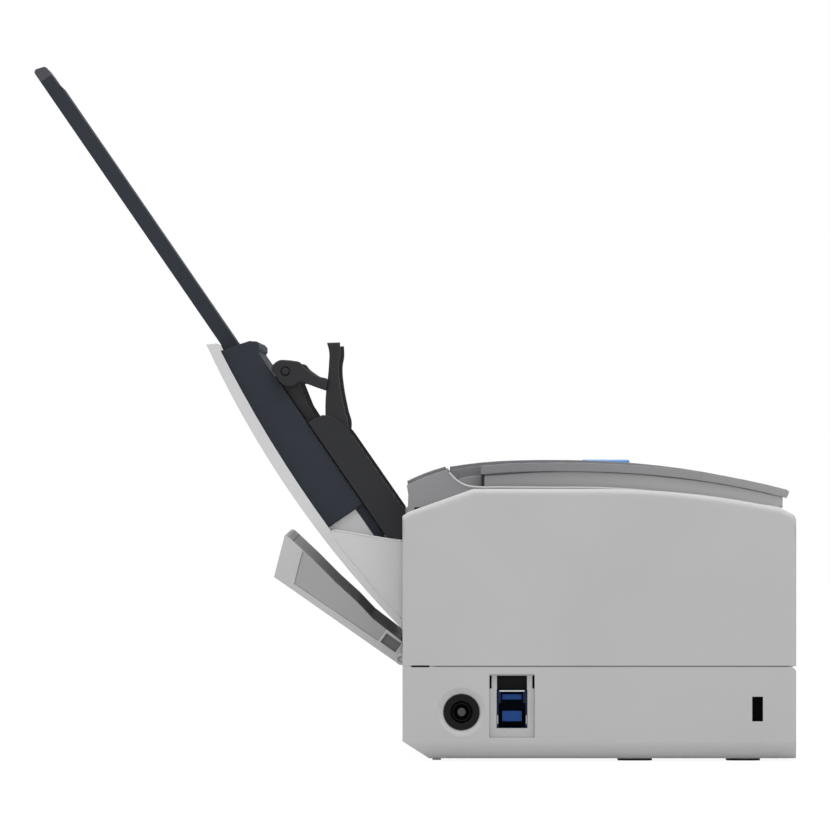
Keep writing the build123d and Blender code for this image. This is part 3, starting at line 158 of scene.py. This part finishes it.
# Soft boxes: a wide one above, one at each side of the camera, one at the front of the scanner and two
# behind it, which light the underside of the chute and the flap.
# Each line gives the place, the point it faces, its side and its power, in metres and watts.
soft_boxes = {
    "soft_box_above": ((0.2, -0.4, 1.6), (0, 0, 0.05), 1.4, 19),
    "soft_box_camera_left": ((-0.9, -2.2, 0.4), (0, 0, 0.08), 1.3, 1.9),
    "soft_box_camera_right": ((0.7, -2.2, 0.6), (0, 0, 0.08), 1.3, 1.9),
    "soft_box_front": ((1.6, -0.8, 0.7), (0, 0, 0.05), 0.8, 4),
    "soft_box_rear_low": ((-1.6, -0.35, 0.3), (-0.08, -0.05, 0.06), 0.9, 5),
    "soft_box_rear_high": ((-1.3, -0.1, 1.25), (-0.08, 0, 0.06), 0.7, 6),
}
for name, (place, target, size, watts) in soft_boxes.items():
    lamp = bpy.data.lights.new(name, "AREA")
    lamp.shape = "RECTANGLE"
    lamp.size = lamp.size_y = size
    lamp.energy = watts
    holder = bpy.data.objects.new(name, lamp)
    bpy.context.scene.collection.objects.link(holder)
    holder.location = place
    holder.rotation_euler = (Vector(target) - Vector(place)).to_track_quat("-Z", "Y").to_euler()


# Casing: base shell, side housings and front panel, which clip together and are screwed from below.
# Light grey ABS, injection moulded in a spark-eroded tool. The tool leaves a fine even grain, which breaks
# up reflections into a soft sheen. The real grain is about 0.1 mm, and it is drawn coarser so that it shows.
cloud_mm = 35                   # size of the faint patches in the tone of a large moulding
tone_change = 0.025
gloss_change = 0.05
# Painted light: a material given a front colour turns lighter towards the front of the scanner, as if lit
# from there.
painted_light_from, painted_light_to = -0.02, 0.055     # metres along the scanner, where the tone turns from rear to front
rim_from, rim_to = 0.060, 0.066         # metres above the desk, where the edges turn into those of the rim


def moulded_plastic(name, colour, painted_front_light_colour=None, grain_mm=0.4, relief_mm=0.012, roughness=0.55,
                    ior=1.53, gloss_level=0.5, edge_mm=0.35, rim_mm=0.35):
    """Moulded plastic: fine grain, slightly uneven tone and gloss, softly rounded edges.

    rim_mm is the radius of the edges near the top rim; a relief of nothing leaves the surface plain.
    """
    material, tree = new_material(name)
    place = add_node(tree, "ShaderNodeTexCoord").outputs["Object"]
    grain = add_node(tree, "ShaderNodeTexNoise", {"Vector": place, "Scale": 1000 / grain_mm, "Detail": 2.0})
    cloud = add_node(tree, "ShaderNodeTexNoise", {"Vector": place, "Scale": 1000 / cloud_mm, "Detail": 3.0})
    tone = add_node(tree, "ShaderNodeMapRange", {
        "Value": cloud.outputs["Fac"], "From Min": 0.3, "From Max": 0.7, "To Min": 1 - tone_change,
        "To Max": 1 + tone_change})
    along = add_node(tree, "ShaderNodeSeparateXYZ", {"Vector": place})
    # Painted light: the tone turns from the rear colour to the lighter front colour along the scanner.
    front = add_node(tree, "ShaderNodeMapRange", {
        "Value": along.outputs["X"], "From Min": painted_light_from, "From Max": painted_light_to})
    plain = add_node(tree, "ShaderNodeMix", {"Factor": front.outputs[0]}, data_type="RGBA")
    plain.inputs[6].default_value = linear(colour)
    plain.inputs[7].default_value = linear(painted_front_light_colour or colour)
    toned = add_node(tree, "ShaderNodeVectorMath", {0: plain.outputs[2], 3: tone.outputs[0]},
                     operation="SCALE")
    gloss = add_node(tree, "ShaderNodeMapRange", {
        "Value": grain.outputs["Fac"], "To Min": roughness - gloss_change,
        "To Max": roughness + gloss_change})
    shader = add_node(tree, "ShaderNodeBsdfPrincipled", {
        "Base Color": toned.outputs[0], "Roughness": gloss.outputs[0], "IOR": ior,
        "Specular IOR Level": gloss_level})
    if relief_mm:
        radius = add_node(tree, "ShaderNodeMapRange", {
            "Value": along.outputs["Z"], "From Min": rim_from, "From Max": rim_to, "To Min": edge_mm / 1000,
            "To Max": rim_mm / 1000})
        rounded = add_node(tree, "ShaderNodeBevel", {"Radius": radius.outputs[0]}, samples=6)
        bump = add_node(tree, "ShaderNodeBump", {
            "Strength": 0.5, "Distance": relief_mm / 1000, "Height": grain.outputs["Fac"],
            "Normal": rounded.outputs[0]})
        tree.links.new(bump.outputs[0], shader.inputs["Normal"])
    add_node(tree, "ShaderNodeOutputMaterial", {"Surface": shader.outputs[0]})
    return material


def finish_nodes(material, *names):
    """Gives CAD nodes their material."""
    for name in names:
        slots = nodes[name].data.materials
        slots.clear()
        slots.append(material)


casing_abs = moulded_plastic("light_grey_textured_ABS", "#b6b6b6", rim_mm=2.0)
finish_nodes(casing_abs, "base_shell", "side_housing_near", "side_housing_far", "front_panel")


# Joint between the base and the side housings, with a latch opening at its rear end.
# The housings stand on the base with a narrow gap, which the eye sees as a fine shadow line and a black slot.
# Each is painted shade: a thin dark strip in the side, proud of it by a few hundredths of a millimetre.
side_y = 148.0                  # millimetres from the middle, as are the other sizes of pieces
strip_root = side_y - 0.4
seam_proud = 0.03
latch_proud = 0.05
seam_z = 26.7
seam_outline = (-47.5, 54.4, seam_z, 0.36, 2.0)     # rear, front, height, width, length of a point
latch_outline = (-52.8, -47.2, seam_z, 0.5, 0.5)
both_sides = (("near", -1), ("far", 1))


def side_planes(side, planes):
    """Two distances from the middle as Y planes on one side, the lower first."""
    return sorted(side * y for y in planes)


def new_piece(name, data, material):
    """Puts a mesh or curve into the scene as a piece in one material."""
    data.materials.clear()
    data.materials.append(material)
    piece = bpy.data.objects.new(name, data)
    bpy.context.scene.collection.objects.link(piece)
    return piece


def strip(name, body, outline, y_low, y_high, material):
    """Solid strip between two Y planes, from an outline in the (x, z) plane; all in millimetres."""
    points = [Vector((x, y, z)) / 1000 for y in (y_low, y_high) for x, z in outline]
    count = len(outline)
    faces = [tuple(range(count)), tuple(range(2 * count - 1, count - 1, -1))]
    for first in range(count):
        after = (first + 1) % count
        faces.append((first, first + count, after + count, after))
    mesh = bpy.data.meshes.new(name)
    mesh.from_pydata(points, [], faces)
    piece = new_piece(name, mesh, material)
    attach(piece, body)


def bar_outline(x_low, x_high, z, width, taper):
    """Outline of a level bar with pointed ends."""
    return [(x_low, z), (x_low + taper, z - width / 2), (x_high - taper, z - width / 2), (x_high, z),
            (x_high - taper, z + width / 2), (x_low + taper, z + width / 2)]


# The joint is the casing's ABS in shadow. The latch slot is painted shade: near-black, with nearly no
# reflection.
seam_abs = moulded_plastic("shadowed_joint_in_ABS", "#6a6a6a", relief_mm=0.004)
slot_shade_black = moulded_plastic("black_painted_slot_shade", "#0a0a0b", relief_mm=0.002, gloss_level=0.12)
for side_name, side in both_sides:
    strip("parting_seam_" + side_name, "casing", bar_outline(*seam_outline),
          *side_planes(side, (strip_root, side_y + seam_proud)), seam_abs)
    strip("latch_gap_" + side_name, "casing", bar_outline(*latch_outline),
          *side_planes(side, (strip_root, side_y + latch_proud)), slot_shade_black)


# Power inlet: a black moulded sleeve with a contact ring round a capped pin, pressed into the base shell.
# The side runs into it by a shallow dish, which catches a soft ring of light.
inlet_x = -38.5
inlet_z = 13.9
inlet_middle = (inlet_x, inlet_z)
dish_profile = ((7.3, 0.0), (6.9, -0.03), (6.4, 0.1), (5.8, 0.4), (5.3, 0.66), (5.02, 0.72), (5.02, 0.8))
dish_steps = 64
dish_proud = 0.01
pin_cap_radius = 1.2
pin_cap_edge = 0.2
pin_cap_planes = (-146.9, -146.45)
contact_ring_radii = (2.7, 2.2)
contact_ring_edge = 0.05
contact_ring_planes = (-145.9, -145.5)


def plane_frame(origin, along, across):
    """Matrix of a plane in the side view; origin in metres, and its third axis is Y."""
    return Matrix((
        (along[0], across[0], 0.0, origin[0]),
        (0.0, 0.0, 1.0, 0.0),
        (along[1], across[1], 0.0, origin[1]),
        (0.0, 0.0, 0.0, 1.0),
    ))


def mesh_of_curve(curve):
    """The mesh of a drawn curve."""
    drawn = bpy.data.objects.new(curve.name + "_drawn", curve)
    bpy.context.scene.collection.objects.link(drawn)
    bpy.context.view_layer.update()
    mesh = bpy.data.meshes.new_from_object(drawn.evaluated_get(bpy.context.evaluated_depsgraph_get()))
    bpy.data.objects.remove(drawn)
    return mesh


def moulding(name, body, outline, holes, corners, edge, y_low, y_high, frame_matrix, material):
    """Flat moulding with rounded edges, from a smooth outline with some corners; all in millimetres."""
    curve = bpy.data.curves.new(name, "CURVE")
    curve.dimensions = "2D"
    curve.fill_mode = "BOTH"
    curve.resolution_u = 8
    curve.extrude = ((y_high - y_low) / 2 - edge) / 1000
    curve.bevel_depth = edge / 1000
    curve.bevel_resolution = 2
    curve.offset = -edge / 1000
    for ring in (outline, *holes):
        spline = curve.splines.new("BEZIER")
        spline.bezier_points.add(len(ring) - 1)
        spline.use_cyclic_u = True
        for number, (point, (a, b)) in enumerate(zip(spline.bezier_points, ring)):
            kind = "VECTOR" if ring is outline and number in corners else "AUTO"
            point.co = (a / 1000, b / 1000, 0)
            point.handle_left_type = kind
            point.handle_right_type = kind
    mesh = mesh_of_curve(curve)
    mesh.transform(frame_matrix @ Matrix.Translation((0, 0, (y_low + y_high) / 2000)))
    if frame_matrix.determinant() < 0:
        mesh.flip_normals()
    piece = new_piece(name, mesh, material)
    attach(piece, body)
    return piece


def ring_points(middle, radius):
    """Eight points on a circle."""
    return [(middle[0] + radius * math.cos(turn * math.pi / 4),
             middle[1] + radius * math.sin(turn * math.pi / 4)) for turn in range(8)]


side_frame = plane_frame(origin=(0.0, 0.0), along=(1.0, 0.0), across=(0.0, 1.0))

# Black plastic from a smooth tool, deep in its recess: nearly no reflections.
inlet_plastic = moulded_plastic("black_inlet_plastic", "#0c0c0e", roughness=0.5, relief_mm=0.003,
                                gloss_level=0.12)
finish_nodes(inlet_plastic, "dc_inlet")

dish_points = []
dish_faces = []
for number, (radius, depth) in enumerate(dish_profile):
    for step in range(dish_steps):
        turn = 2 * math.pi * step / dish_steps
        dish_points.append(Vector((inlet_x + radius * math.cos(turn), depth - side_y - dish_proud,
                                   inlet_z + radius * math.sin(turn))) / 1000)
        if number:
            after = (step + 1) % dish_steps
            row = number * dish_steps
            dish_faces.append((row - dish_steps + step, row + step, row + after, row - dish_steps + after))
dish_mesh = bpy.data.meshes.new("inlet_dish")
dish_mesh.from_pydata(dish_points, [], dish_faces)
for face in dish_mesh.polygons:
    face.use_smooth = True
inlet_dish = new_piece("inlet_dish", dish_mesh, casing_abs)
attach(inlet_dish, "casing")

# The pin ends in a dark grey cap, which shows as a paler dot in the black sleeve.
pin_cap_plastic = moulded_plastic("dark_grey_pin_cap_plastic", "#2e2e30", roughness=0.4, relief_mm=0.002)
moulding("inlet_pin_cap", "casing", ring_points(inlet_middle, pin_cap_radius), (), (), pin_cap_edge,
         *pin_cap_planes, side_frame, pin_cap_plastic)
moulding("inlet_contact_ring", "casing", ring_points(inlet_middle, contact_ring_radii[0]),
         [ring_points(inlet_middle, contact_ring_radii[1])], (), contact_ring_edge, *contact_ring_planes,
         side_frame, inlet_plastic)


# Data socket: two blue tongues in a navy nylon body, behind a light grey bezel that clips into the side.
# A black sheet behind the slot above the socket is painted shade, the dark inside of the slot, and bright
# edges of the socket's steel shell show round it.
slot_shade_outline = ((-30.6, 20.1), (-18.2, 20.1), (-18.2, 24.35), (-30.6, 24.35))
slot_shade_planes = (-144.75, -144.3)
shell_planes = (-147.25, -147.02)
shell_edges = {
    "top": ((-27.9, 19.62), (-20.9, 19.62), (-20.9, 20.0), (-27.9, 20.0)),
    "left": ((-28.5, 10.6), (-28.3, 10.6), (-28.3, 13.0), (-28.5, 13.0)),
    "right": ((-20.5, 10.6), (-20.3, 10.6), (-20.3, 13.0), (-20.5, 13.0)),
}
steel_mark_mm = 2 / 3           # fine marks of the tool, drawn coarser than they are so that they show
steel_gloss_change = 0.08


def machined_steel(name, colour, roughness):
    """Bare or plated steel, whose gloss changes a little along the fine marks of its making."""
    material, tree = new_material(name)
    place = add_node(tree, "ShaderNodeTexCoord").outputs["Object"]
    streak = add_node(tree, "ShaderNodeTexNoise", {
        "Vector": place, "Scale": 1000 / steel_mark_mm, "Detail": 3.0})
    gloss = add_node(tree, "ShaderNodeMapRange", {
        "Value": streak.outputs["Fac"], "To Min": roughness - steel_gloss_change,
        "To Max": roughness + steel_gloss_change})
    shader = add_node(tree, "ShaderNodeBsdfPrincipled", {
        "Base Color": linear(colour), "Metallic": 1.0, "Roughness": gloss.outputs[0]})
    add_node(tree, "ShaderNodeOutputMaterial", {"Surface": shader.outputs[0]})
    return material


# Blue tongues and navy body are filled nylon from a smooth tool: plain and nearly matt.
tongue_plastic = moulded_plastic("blue_tongue_plastic", "#12407f", roughness=0.5, relief_mm=0.002,
                                 gloss_level=0.2)
finish_nodes(tongue_plastic, "port_tongues")
socket_plastic = moulded_plastic("navy_filled_nylon", "#0d1a38", roughness=0.5, relief_mm=0.002,
                                 gloss_level=0.15)
finish_nodes(socket_plastic, "data_port")

# The bezel has the grain of the casing, a trace darker.
bezel_plastic = moulded_plastic("bezel_grey_ABS", "#b2b2b2")
finish_nodes(bezel_plastic, "port_bezel")

# Painted shade: a black sheet behind the slot, dark as its inside.
strip("slot_shade_sheet", "casing", slot_shade_outline, *slot_shade_planes, slot_shade_black)

# Zinc-plated sheet: a soft grey mirror, bright where it faces the lamps.
zinc_sheet = machined_steel("zinc_plated_sheet", "#b4b8ba", 0.4)
for edge_name, outline in shell_edges.items():
    strip("socket_edge_" + edge_name, "casing", outline, *shell_planes, zinc_sheet)


# Lock plate: steel plate behind the lock slot, blackened, and held by the base shell.
# A black box behind it is painted shade: it darkens the inside of the lock slot.
lock_x = 44.2
lock_z = 14.75
lock_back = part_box("lock_plate")[1].y * 1000
pocket_half_width = 5.0
pocket_half_height = 7.0
pocket_wall = 0.6
pocket_depth = 6.0

# Black oxide leaves the steel dull, nearly black in its slot.
black_oxide_steel = machined_steel("black_oxide_steel", "#101011", 0.6)
finish_nodes(black_oxide_steel, "lock_plate")

# Painted shade: a black open box behind the lock plate, dark as the inside of the slot.
pocket_points = []
for inset, depth in ((0, pocket_depth), (0, 0), (pocket_wall, 0), (pocket_wall, pocket_depth - pocket_wall)):
    across, up = pocket_half_width - inset, pocket_half_height - inset
    for x, z in ((-across, -up), (across, -up), (across, up), (-across, up)):
        pocket_points.append(Vector((lock_x + x, lock_back + depth, lock_z + z)) / 1000)
pocket_faces = [(3, 2, 1, 0), (12, 13, 14, 15)]
for row in (0, 4, 8):
    for corner in range(4):
        after = (corner + 1) % 4
        pocket_faces.append((row + corner, row + after, row + 4 + after, row + 4 + corner))
pocket_mesh = bpy.data.meshes.new("lock_slot_shade_box")
pocket_mesh.from_pydata(pocket_points, [], pocket_faces)
lock_slot_shade_box = new_piece("lock_slot_shade_box", pocket_mesh, slot_shade_black)
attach(lock_slot_shade_box, "casing")


# Side frames and motor bracket: zinc-plated sheet steel, blanked and bent, screwed to the base.
# The motor is a drawn steel can with dark lacquer, which keeps a metal's sheen.
finish_nodes(zinc_sheet, "side_frames", "motor_bracket")
motor_paint = machined_steel("dark_motor_can", "#5a5a5c", 0.4)
finish_nodes(motor_paint, "drive_motor")


# Shafts, hinge pins, screws and motor pinion: turned and ground steel, pressed or screwed in.
# Ground steel gives long bright reflections.
ground_steel = machined_steel("ground_steel", "#c2c3c4", 0.28)
finish_nodes(ground_steel, "pick_shaft", "feed_shaft", "turn_shaft", "chute_shaft", "cover_pins",
             "case_screws", "motor_pinion")


# Gears, bushes and small rollers: moulded in natural acetal, pushed onto their shafts.
# The plain resin is creamy white and waxy.
natural_acetal = moulded_plastic("natural_acetal", "#e4e3dc", roughness=0.4, relief_mm=0.004, ior=1.48)
finish_nodes(natural_acetal, "idler_gear", "feed_gear", "pick_gear", "turn_gears", "guide_pinion",
             "feed_idler", "pinch_roller", "eject_roller", "shaft_bushes")


# Roller tyres, belt and feet: black rubber, moulded and ground to size.
# Grinding leaves it matt with a faint speckle, drawn coarser than it is.
roller_rubber = moulded_plastic("ground_rubber", "#3a3a3c", roughness=0.75, grain_mm=0.25, gloss_level=0.3)
finish_nodes(roller_rubber, "pick_roller", "feed_roller", "turn_roller", "separation_roller", "rubber_feet",
             "drive_belt")


# Paper guides and scan units inside: black glass-filled ABS, moulded, and screwed between the side frames.
# The glass fibres leave the surface matt and a little uneven.
inner_plastic = moulded_plastic("black_glass_filled_ABS", "#222326", roughness=0.6)
finish_nodes(inner_plastic, "scan_units", "inner_turn_guide", "outer_turn_guide", "lower_guides",
             "return_guide", "image_sensors")


# Scan glasses: polished float glass, bonded into the scan units.
# It is clear and faintly green, with traces of wiping in its gloss.
wiping_mm = 50 / 3              # length of a trace of wiping
glass_material, tree = new_material("polished_float_glass")
place = add_node(tree, "ShaderNodeTexCoord").outputs["Object"]
wiping = add_node(tree, "ShaderNodeTexNoise", {"Vector": place, "Scale": 1000 / wiping_mm, "Detail": 4.0})
haze = add_node(tree, "ShaderNodeMapRange", {"Value": wiping.outputs["Fac"], "To Min": 0.02, "To Max": 0.06})
shader = add_node(tree, "ShaderNodeBsdfPrincipled", {
    "Base Color": linear("#dfeceb"), "Roughness": haze.outputs[0], "Transmission Weight": 0.9, "IOR": 1.52})
add_node(tree, "ShaderNodeOutputMaterial", {"Surface": shader.outputs[0]})
finish_nodes(glass_material, "scan_glasses")


# Circuit boards: woven glass laminate under green lacquer, screwed in.
# The weave shows through the lacquer as a fine square pattern, drawn coarser than it is.
weave_mm = 1.6
weave_relief_mm = 0.02
lacquer, tree = new_material("circuit_board_lacquer")
place = add_node(tree, "ShaderNodeTexCoord").outputs["Object"]
weave = add_node(tree, "ShaderNodeTexBrick", {
    "Vector": place, "Color1": linear("#14502f"), "Color2": linear("#195a36"), "Mortar": linear("#0f4227"),
    "Scale": 1000 / weave_mm, "Mortar Size": 0.08, "Brick Width": 1.0, "Row Height": 1.0})
lacquer_bump = add_node(tree, "ShaderNodeBump", {
    "Strength": 0.3, "Distance": weave_relief_mm / 1000, "Height": weave.outputs["Fac"]})
shader = add_node(tree, "ShaderNodeBsdfPrincipled", {
    "Base Color": weave.outputs["Color"], "Roughness": 0.35, "IOR": 1.5, "Normal": lacquer_bump.outputs[0]})
add_node(tree, "ShaderNodeOutputMaterial", {"Surface": shader.outputs[0]})
finish_nodes(lacquer, "main_board", "button_switch")


# Rear cheeks and top cover: mid grey ABS, moulded like the casing; the cover turns on pins in the cheeks.
# The cover is painted a shade lighter towards the front, which is painted light, and its grain is finer, so
# its sheen is even.
cheek_abs = moulded_plastic("mid_grey_textured_ABS", "#8a8a8c", relief_mm=0.004)
finish_nodes(cheek_abs, "rear_cheeks")
cover_abs = moulded_plastic("mid_grey_cover_ABS", "#7e7e82", "#9c9c9c", relief_mm=0.004, edge_mm=0.3)
finish_nodes(cover_abs, "top_cover")


# Rim beads of the housings: moulded in the casing's ABS, along the inner edge of the rim and up the cheeks.
# Below each, at the rear, a black bar is painted shade of a hinge slot.
rim_line = ((-42.0, 80.8), (-39.8, 78.6), (-37.3, 77.2), (-34.5, 76.7), (-27.8, 76.6), (-13.1, 76.5),
            (0.0, 76.4), (15.2, 75.4), (30.2, 73.6), (42.3, 72.0), (51.2, 70.8))
rim_bead_radius = 0.32
rim_bead_y = 134.0
hinge_slot_outline = (-51.8, -49.7, 70.6, 0.9, 0.3)
hinge_slot_planes = (133.7, 134.04)


def smooth_bead(name, body, line, radius, y, frame_matrix, material):
    """Round bead along a smooth line in a frame's plane, at a distance from the middle; in millimetres."""
    curve = bpy.data.curves.new(name, "CURVE")
    curve.dimensions = "3D"
    curve.bevel_depth = radius / 1000
    curve.bevel_resolution = 3
    curve.resolution_u = 8
    curve.use_fill_caps = True
    spline = curve.splines.new("BEZIER")
    spline.bezier_points.add(len(line) - 1)
    for point, (a, b) in zip(spline.bezier_points, line):
        point.co = (a / 1000, b / 1000, y / 1000)
        point.handle_left_type = "AUTO"
        point.handle_right_type = "AUTO"
    piece = new_piece(name, curve, material)
    piece.matrix_world = frame_matrix
    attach(piece, body)


for side_name, side in both_sides:
    smooth_bead("rim_bead_" + side_name, "casing", rim_line, rim_bead_radius, side * rim_bead_y, side_frame,
                casing_abs)
    strip("hinge_slot_" + side_name, "casing", bar_outline(*hinge_slot_outline),
          *side_planes(side, hinge_slot_planes), slot_shade_black)


# Skirt panels of the cover: lighter ABS, moulded, and clipped to both sides below the plate.
# A thin skin of the same ABS covers the outer face of each ear, beside the cheeks.
skirt_outline = (
    (-32.0, 79.8), (-32.0, 71.3), (51.4, 71.3), (51.4, 73.9), (43.5, 75.7), (34.2, 77.5), (20.0, 79.4),
    (5.7, 80.6), (-13.0, 81.0),
)
skirt_edge = 0.1
skirt_planes = (131.05, 131.45)
ear_outline = ((-39.1, 79.0), (-36.0, 79.65), (-32.7, 79.95), (-32.7, 75.2), (-39.1, 75.2))
ear_edge = 0.05
ear_planes = (121.35, 121.65)

# It has the same fine grain as the cover, and painted light makes it lighter towards the front, as on the
# cover.
skirt_abs = moulded_plastic("lighter_grey_textured_ABS", "#a4a4a6", "#cccccc", relief_mm=0.004)
for side_name, side in both_sides:
    moulding("skirt_panel_" + side_name, "cover", skirt_outline, (), (0, 1, 2, 3), skirt_edge,
             *side_planes(side, skirt_planes), side_frame, skirt_abs)
    moulding("ear_skin_" + side_name, "cover", ear_outline, (), (0, 2, 3, 4), ear_edge,
             *side_planes(side, ear_planes), side_frame, skirt_abs)


# Scan button: blue ABS, moulded in a polished tool, in the far border of the cover.
# It stands on a coil spring of drawn steel wire.
spring_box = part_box("button_spring")
spring_wire = 0.0002            # radius of the wire, in metres as the box of the spring is
spring_middle = (spring_box[0] + spring_box[1]) / 2
spring_radius = (spring_box[1].x - spring_box[0].x) / 2 - spring_wire
spring_foot = spring_box[0].z + spring_wire
spring_rise = spring_box[1].z - spring_box[0].z - 2 * spring_wire
spring_turns = 3
spring_steps = 24 * spring_turns

# The polished tool gives the blue a clear gloss.
button_plastic = moulded_plastic("blue_gloss_ABS", "#5f97d6", roughness=0.3, relief_mm=0.002)
finish_nodes(button_plastic, "scan_button")

# Drawn wire is bright, with fine lines along it.
spring_steel = machined_steel("drawn_spring_steel", "#b9babb", 0.32)
coil = bpy.data.curves.new("spring_coil", "CURVE")
coil.dimensions = "3D"
coil.bevel_depth = spring_wire
coil.bevel_resolution = 2
coil.use_fill_caps = True
spline = coil.splines.new("POLY")
spline.points.add(spring_steps)
for step, point in enumerate(spline.points):
    turn = 2 * math.pi * spring_turns * step / spring_steps
    point.co = (spring_middle.x + spring_radius * math.cos(turn),
                spring_middle.y + spring_radius * math.sin(turn),
                spring_foot + spring_rise * step / spring_steps, 1)
spring_coil = new_piece("spring_coil", mesh_of_curve(coil), spring_steel)
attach(spring_coil, "cover")
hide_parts("button_spring")
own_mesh(spring_coil)


# Chute cover: near-white ABS shell with its side walls, moulded in one, on the chute's shaft.
# A fine raised ridge runs where the walls join the shell, and ribs of the same ABS stand between the walls
# and the dark bed. The pale surface is smooth to the eye, with soft edges.
chute_frame = plane_frame(origin=(-0.0457, 0.0570), along=(-0.5664, 0.8241), across=(0.8241, 0.5664))
chute_half_width = 116.0
ridge_radius = 0.3
ridge_depth = 0.15              # how far a ridge's middle line lies inside the wall
gusset_depth = 0.2
gusset_line = ((22.3, -19.3), (18.4, -15.25), (14.3, -11.0), (8.9, -5.4))
ridge_line = ((22.6, -20.3), (17.2, -20.4), (11.9, -20.0), (3.3, -19.5), (-2.6, -18.9), (-8.6, -17.9))
rib_outline = ((23.9, -20.5), (23.9, -10.95), (9.6, -10.95), (12.0, -14.6), (18.0, -19.9))
rib_edge = 0.2
rib_planes = (111.2, 112.6)

chute_abs = moulded_plastic("near_white_ABS", "#cfcfd0", edge_mm=0.8)
finish_nodes(chute_abs, "chute_cover")
for side_name, side in both_sides:
    smooth_bead("chute_ridge_" + side_name, "chute", ridge_line, ridge_radius,
                side * (chute_half_width - ridge_depth), chute_frame, chute_abs)
    smooth_bead("gusset_edge_" + side_name, "chute", gusset_line, ridge_radius,
                side * (chute_half_width - gusset_depth), chute_frame, chute_abs)
    moulding("chute_rib_" + side_name, "chute", rib_outline, (), range(len(rib_outline)), rib_edge,
             *side_planes(side, rib_planes), chute_frame, chute_abs)


# Chute bed and extension: slate black polycarbonate, moulded, with a dark ABS tip on the extension.
# Bed and cover clip together, and the extension slides between them. An even fine grain leaves it matt.
dark_polycarbonate = moulded_plastic("slate_black_polycarbonate", "#32353d", roughness=0.8, relief_mm=0.002,
                                     gloss_level=0.15)
finish_nodes(dark_polycarbonate, "chute_bed", "extension")
tip_plastic = moulded_plastic("dark_tip_ABS", "#404046", relief_mm=0.006, gloss_level=0.4)
finish_nodes(tip_plastic, "extension_tip")


# Paper guides, levers and struts: black acetal, moulded in a polished tool, smooth with a low sheen.
# Each guide has a slide strip under it. Levers and struts are flat mouldings on pins of the guides.
sole_outline = ((13.2, -8.55), (67.5, -8.55), (67.5, -7.9), (13.2, -7.9))
sole_edge = 0.05
sole_planes = (108.5, 110.5)
lever_outline = (
    (67.0, 8.9), (65.0, 12.0), (62.5, 10.4), (60.0, 8.1), (55.4, 5.4), (48.9, 2.5), (44.3, 0.6),
    (42.7, -1.6), (43.4, -4.2), (45.7, -5.2), (48.2, -4.3), (50.6, -2.9), (55.9, 1.0), (58.7, 3.5),
    (61.9, 6.1), (64.6, 8.0),
)
lever_pin = (45.7, -2.1)
lever_pin_radius = 1.5
lever_planes = (111.2, 113.8)
strut_outline = (
    (70.1, -7.9), (70.6, -6.4), (70.5, -4.9), (69.4, -3.2), (68.2, -1.8), (66.8, -0.5), (65.1, -0.3),
    (63.2, 0.3), (61.0, 1.3), (58.6, 3.3), (55.8, 1.2), (58.2, -0.6), (60.7, -2.4), (62.2, -3.8),
    (62.1, -5.2), (63.1, -7.2), (64.9, -8.2), (67.4, -8.3),
)
strut_pin = (67.0, -5.3)
strut_pin_radius = 1.0
strut_planes = (114.6, 116.4)
pin_gap = 0.05
arm_edge = 0.35

guide_acetal = moulded_plastic("black_acetal", "#17181b", roughness=0.45, relief_mm=0.002, gloss_level=0.3)
finish_nodes(guide_acetal, "side_guide_near", "side_guide_far")
for side_name, side in both_sides:
    moulding("guide_sole_" + side_name, "guide_" + side_name, sole_outline, (), range(4), sole_edge,
             *side_planes(side, sole_planes), chute_frame, guide_acetal)
    piece = moulding("lever_blade_" + side_name, "lever_" + side_name, lever_outline,
                     [ring_points(lever_pin, lever_pin_radius + pin_gap)], (0, 1), arm_edge,
                     *side_planes(side, lever_planes), chute_frame, guide_acetal)
    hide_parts("lever_" + side_name)
    piece = moulding("strut_arm_" + side_name, "strut_" + side_name, strut_outline,
                     [ring_points(strut_pin, strut_pin_radius + pin_gap)], (9, 10), arm_edge,
                     *side_planes(side, strut_planes), chute_frame, guide_acetal)
    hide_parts("strut_" + side_name)


# Rear flap: light grey ABS skin with recessed sides and a matt inner panel, on pins in the housings.
# Each side has a thin inlay, more matt than the skin and darker with painted shade of the recess, and a dark
# grey plate in the pocket hole, which is painted shade.
flap_frame = plane_frame(origin=(-0.0554, 0.0282), along=(-0.8192, 0.5736), across=(0.5736, 0.8192))
inlay_outline = ((8.35, 0.55), (36.75, 0.15), (37.35, 1.75), (39.3, 6.9), (39.8, 8.9), (36.1, 8.5),
                 (27.2, 6.95), (19.3, 5.95), (13.0, 4.65), (8.35, 4.4))
inlay_edge = 0.05
inlay_planes = (115.15, 115.85)
pocket_outline = ((2.45, 0.65), (7.45, 0.65), (7.45, 3.55), (2.45, 3.55))
pocket_edge = 0.05
pocket_planes = (114.4, 115.3)

flap_abs = moulded_plastic("flap_grey_ABS", "#bcbcbc")
finish_nodes(flap_abs, "rear_flap", "flap_pins")
# Painted light: the inner panel is a lighter copy of the skin's grey, which lifts the deep shade between the
# flap and the chute.
lightened_flap_panel_abs = moulded_plastic("matt_flap_panel_ABS_painted_light", "#d4d4d4", relief_mm=0, gloss_level=0.0)
finish_nodes(lightened_flap_panel_abs, "flap_inner_guide")
# Painted shade: the inlay is darker than the skin, as the shade of the recessed side.
recess_shade_inlay_abs = moulded_plastic("matt_inlay_ABS_painted_recess_shade", "#a0a0a0", roughness=0.65, edge_mm=0.1)
# Painted shade: a dark grey plate in the pocket hole, dark as its inside.
pocket_shade_abs = moulded_plastic("painted_pocket_shade_grey", "#666666", edge_mm=0.1)
for side_name, side in both_sides:
    moulding("flap_inlay_" + side_name, "flap", inlay_outline, (), range(len(inlay_outline)), inlay_edge,
             *side_planes(side, inlay_planes), flap_frame, recess_shade_inlay_abs)
    moulding("flap_pocket_shade_" + side_name, "flap", pocket_outline, (), range(len(pocket_outline)), pocket_edge,
             *side_planes(side, pocket_planes), flap_frame, pocket_shade_abs)
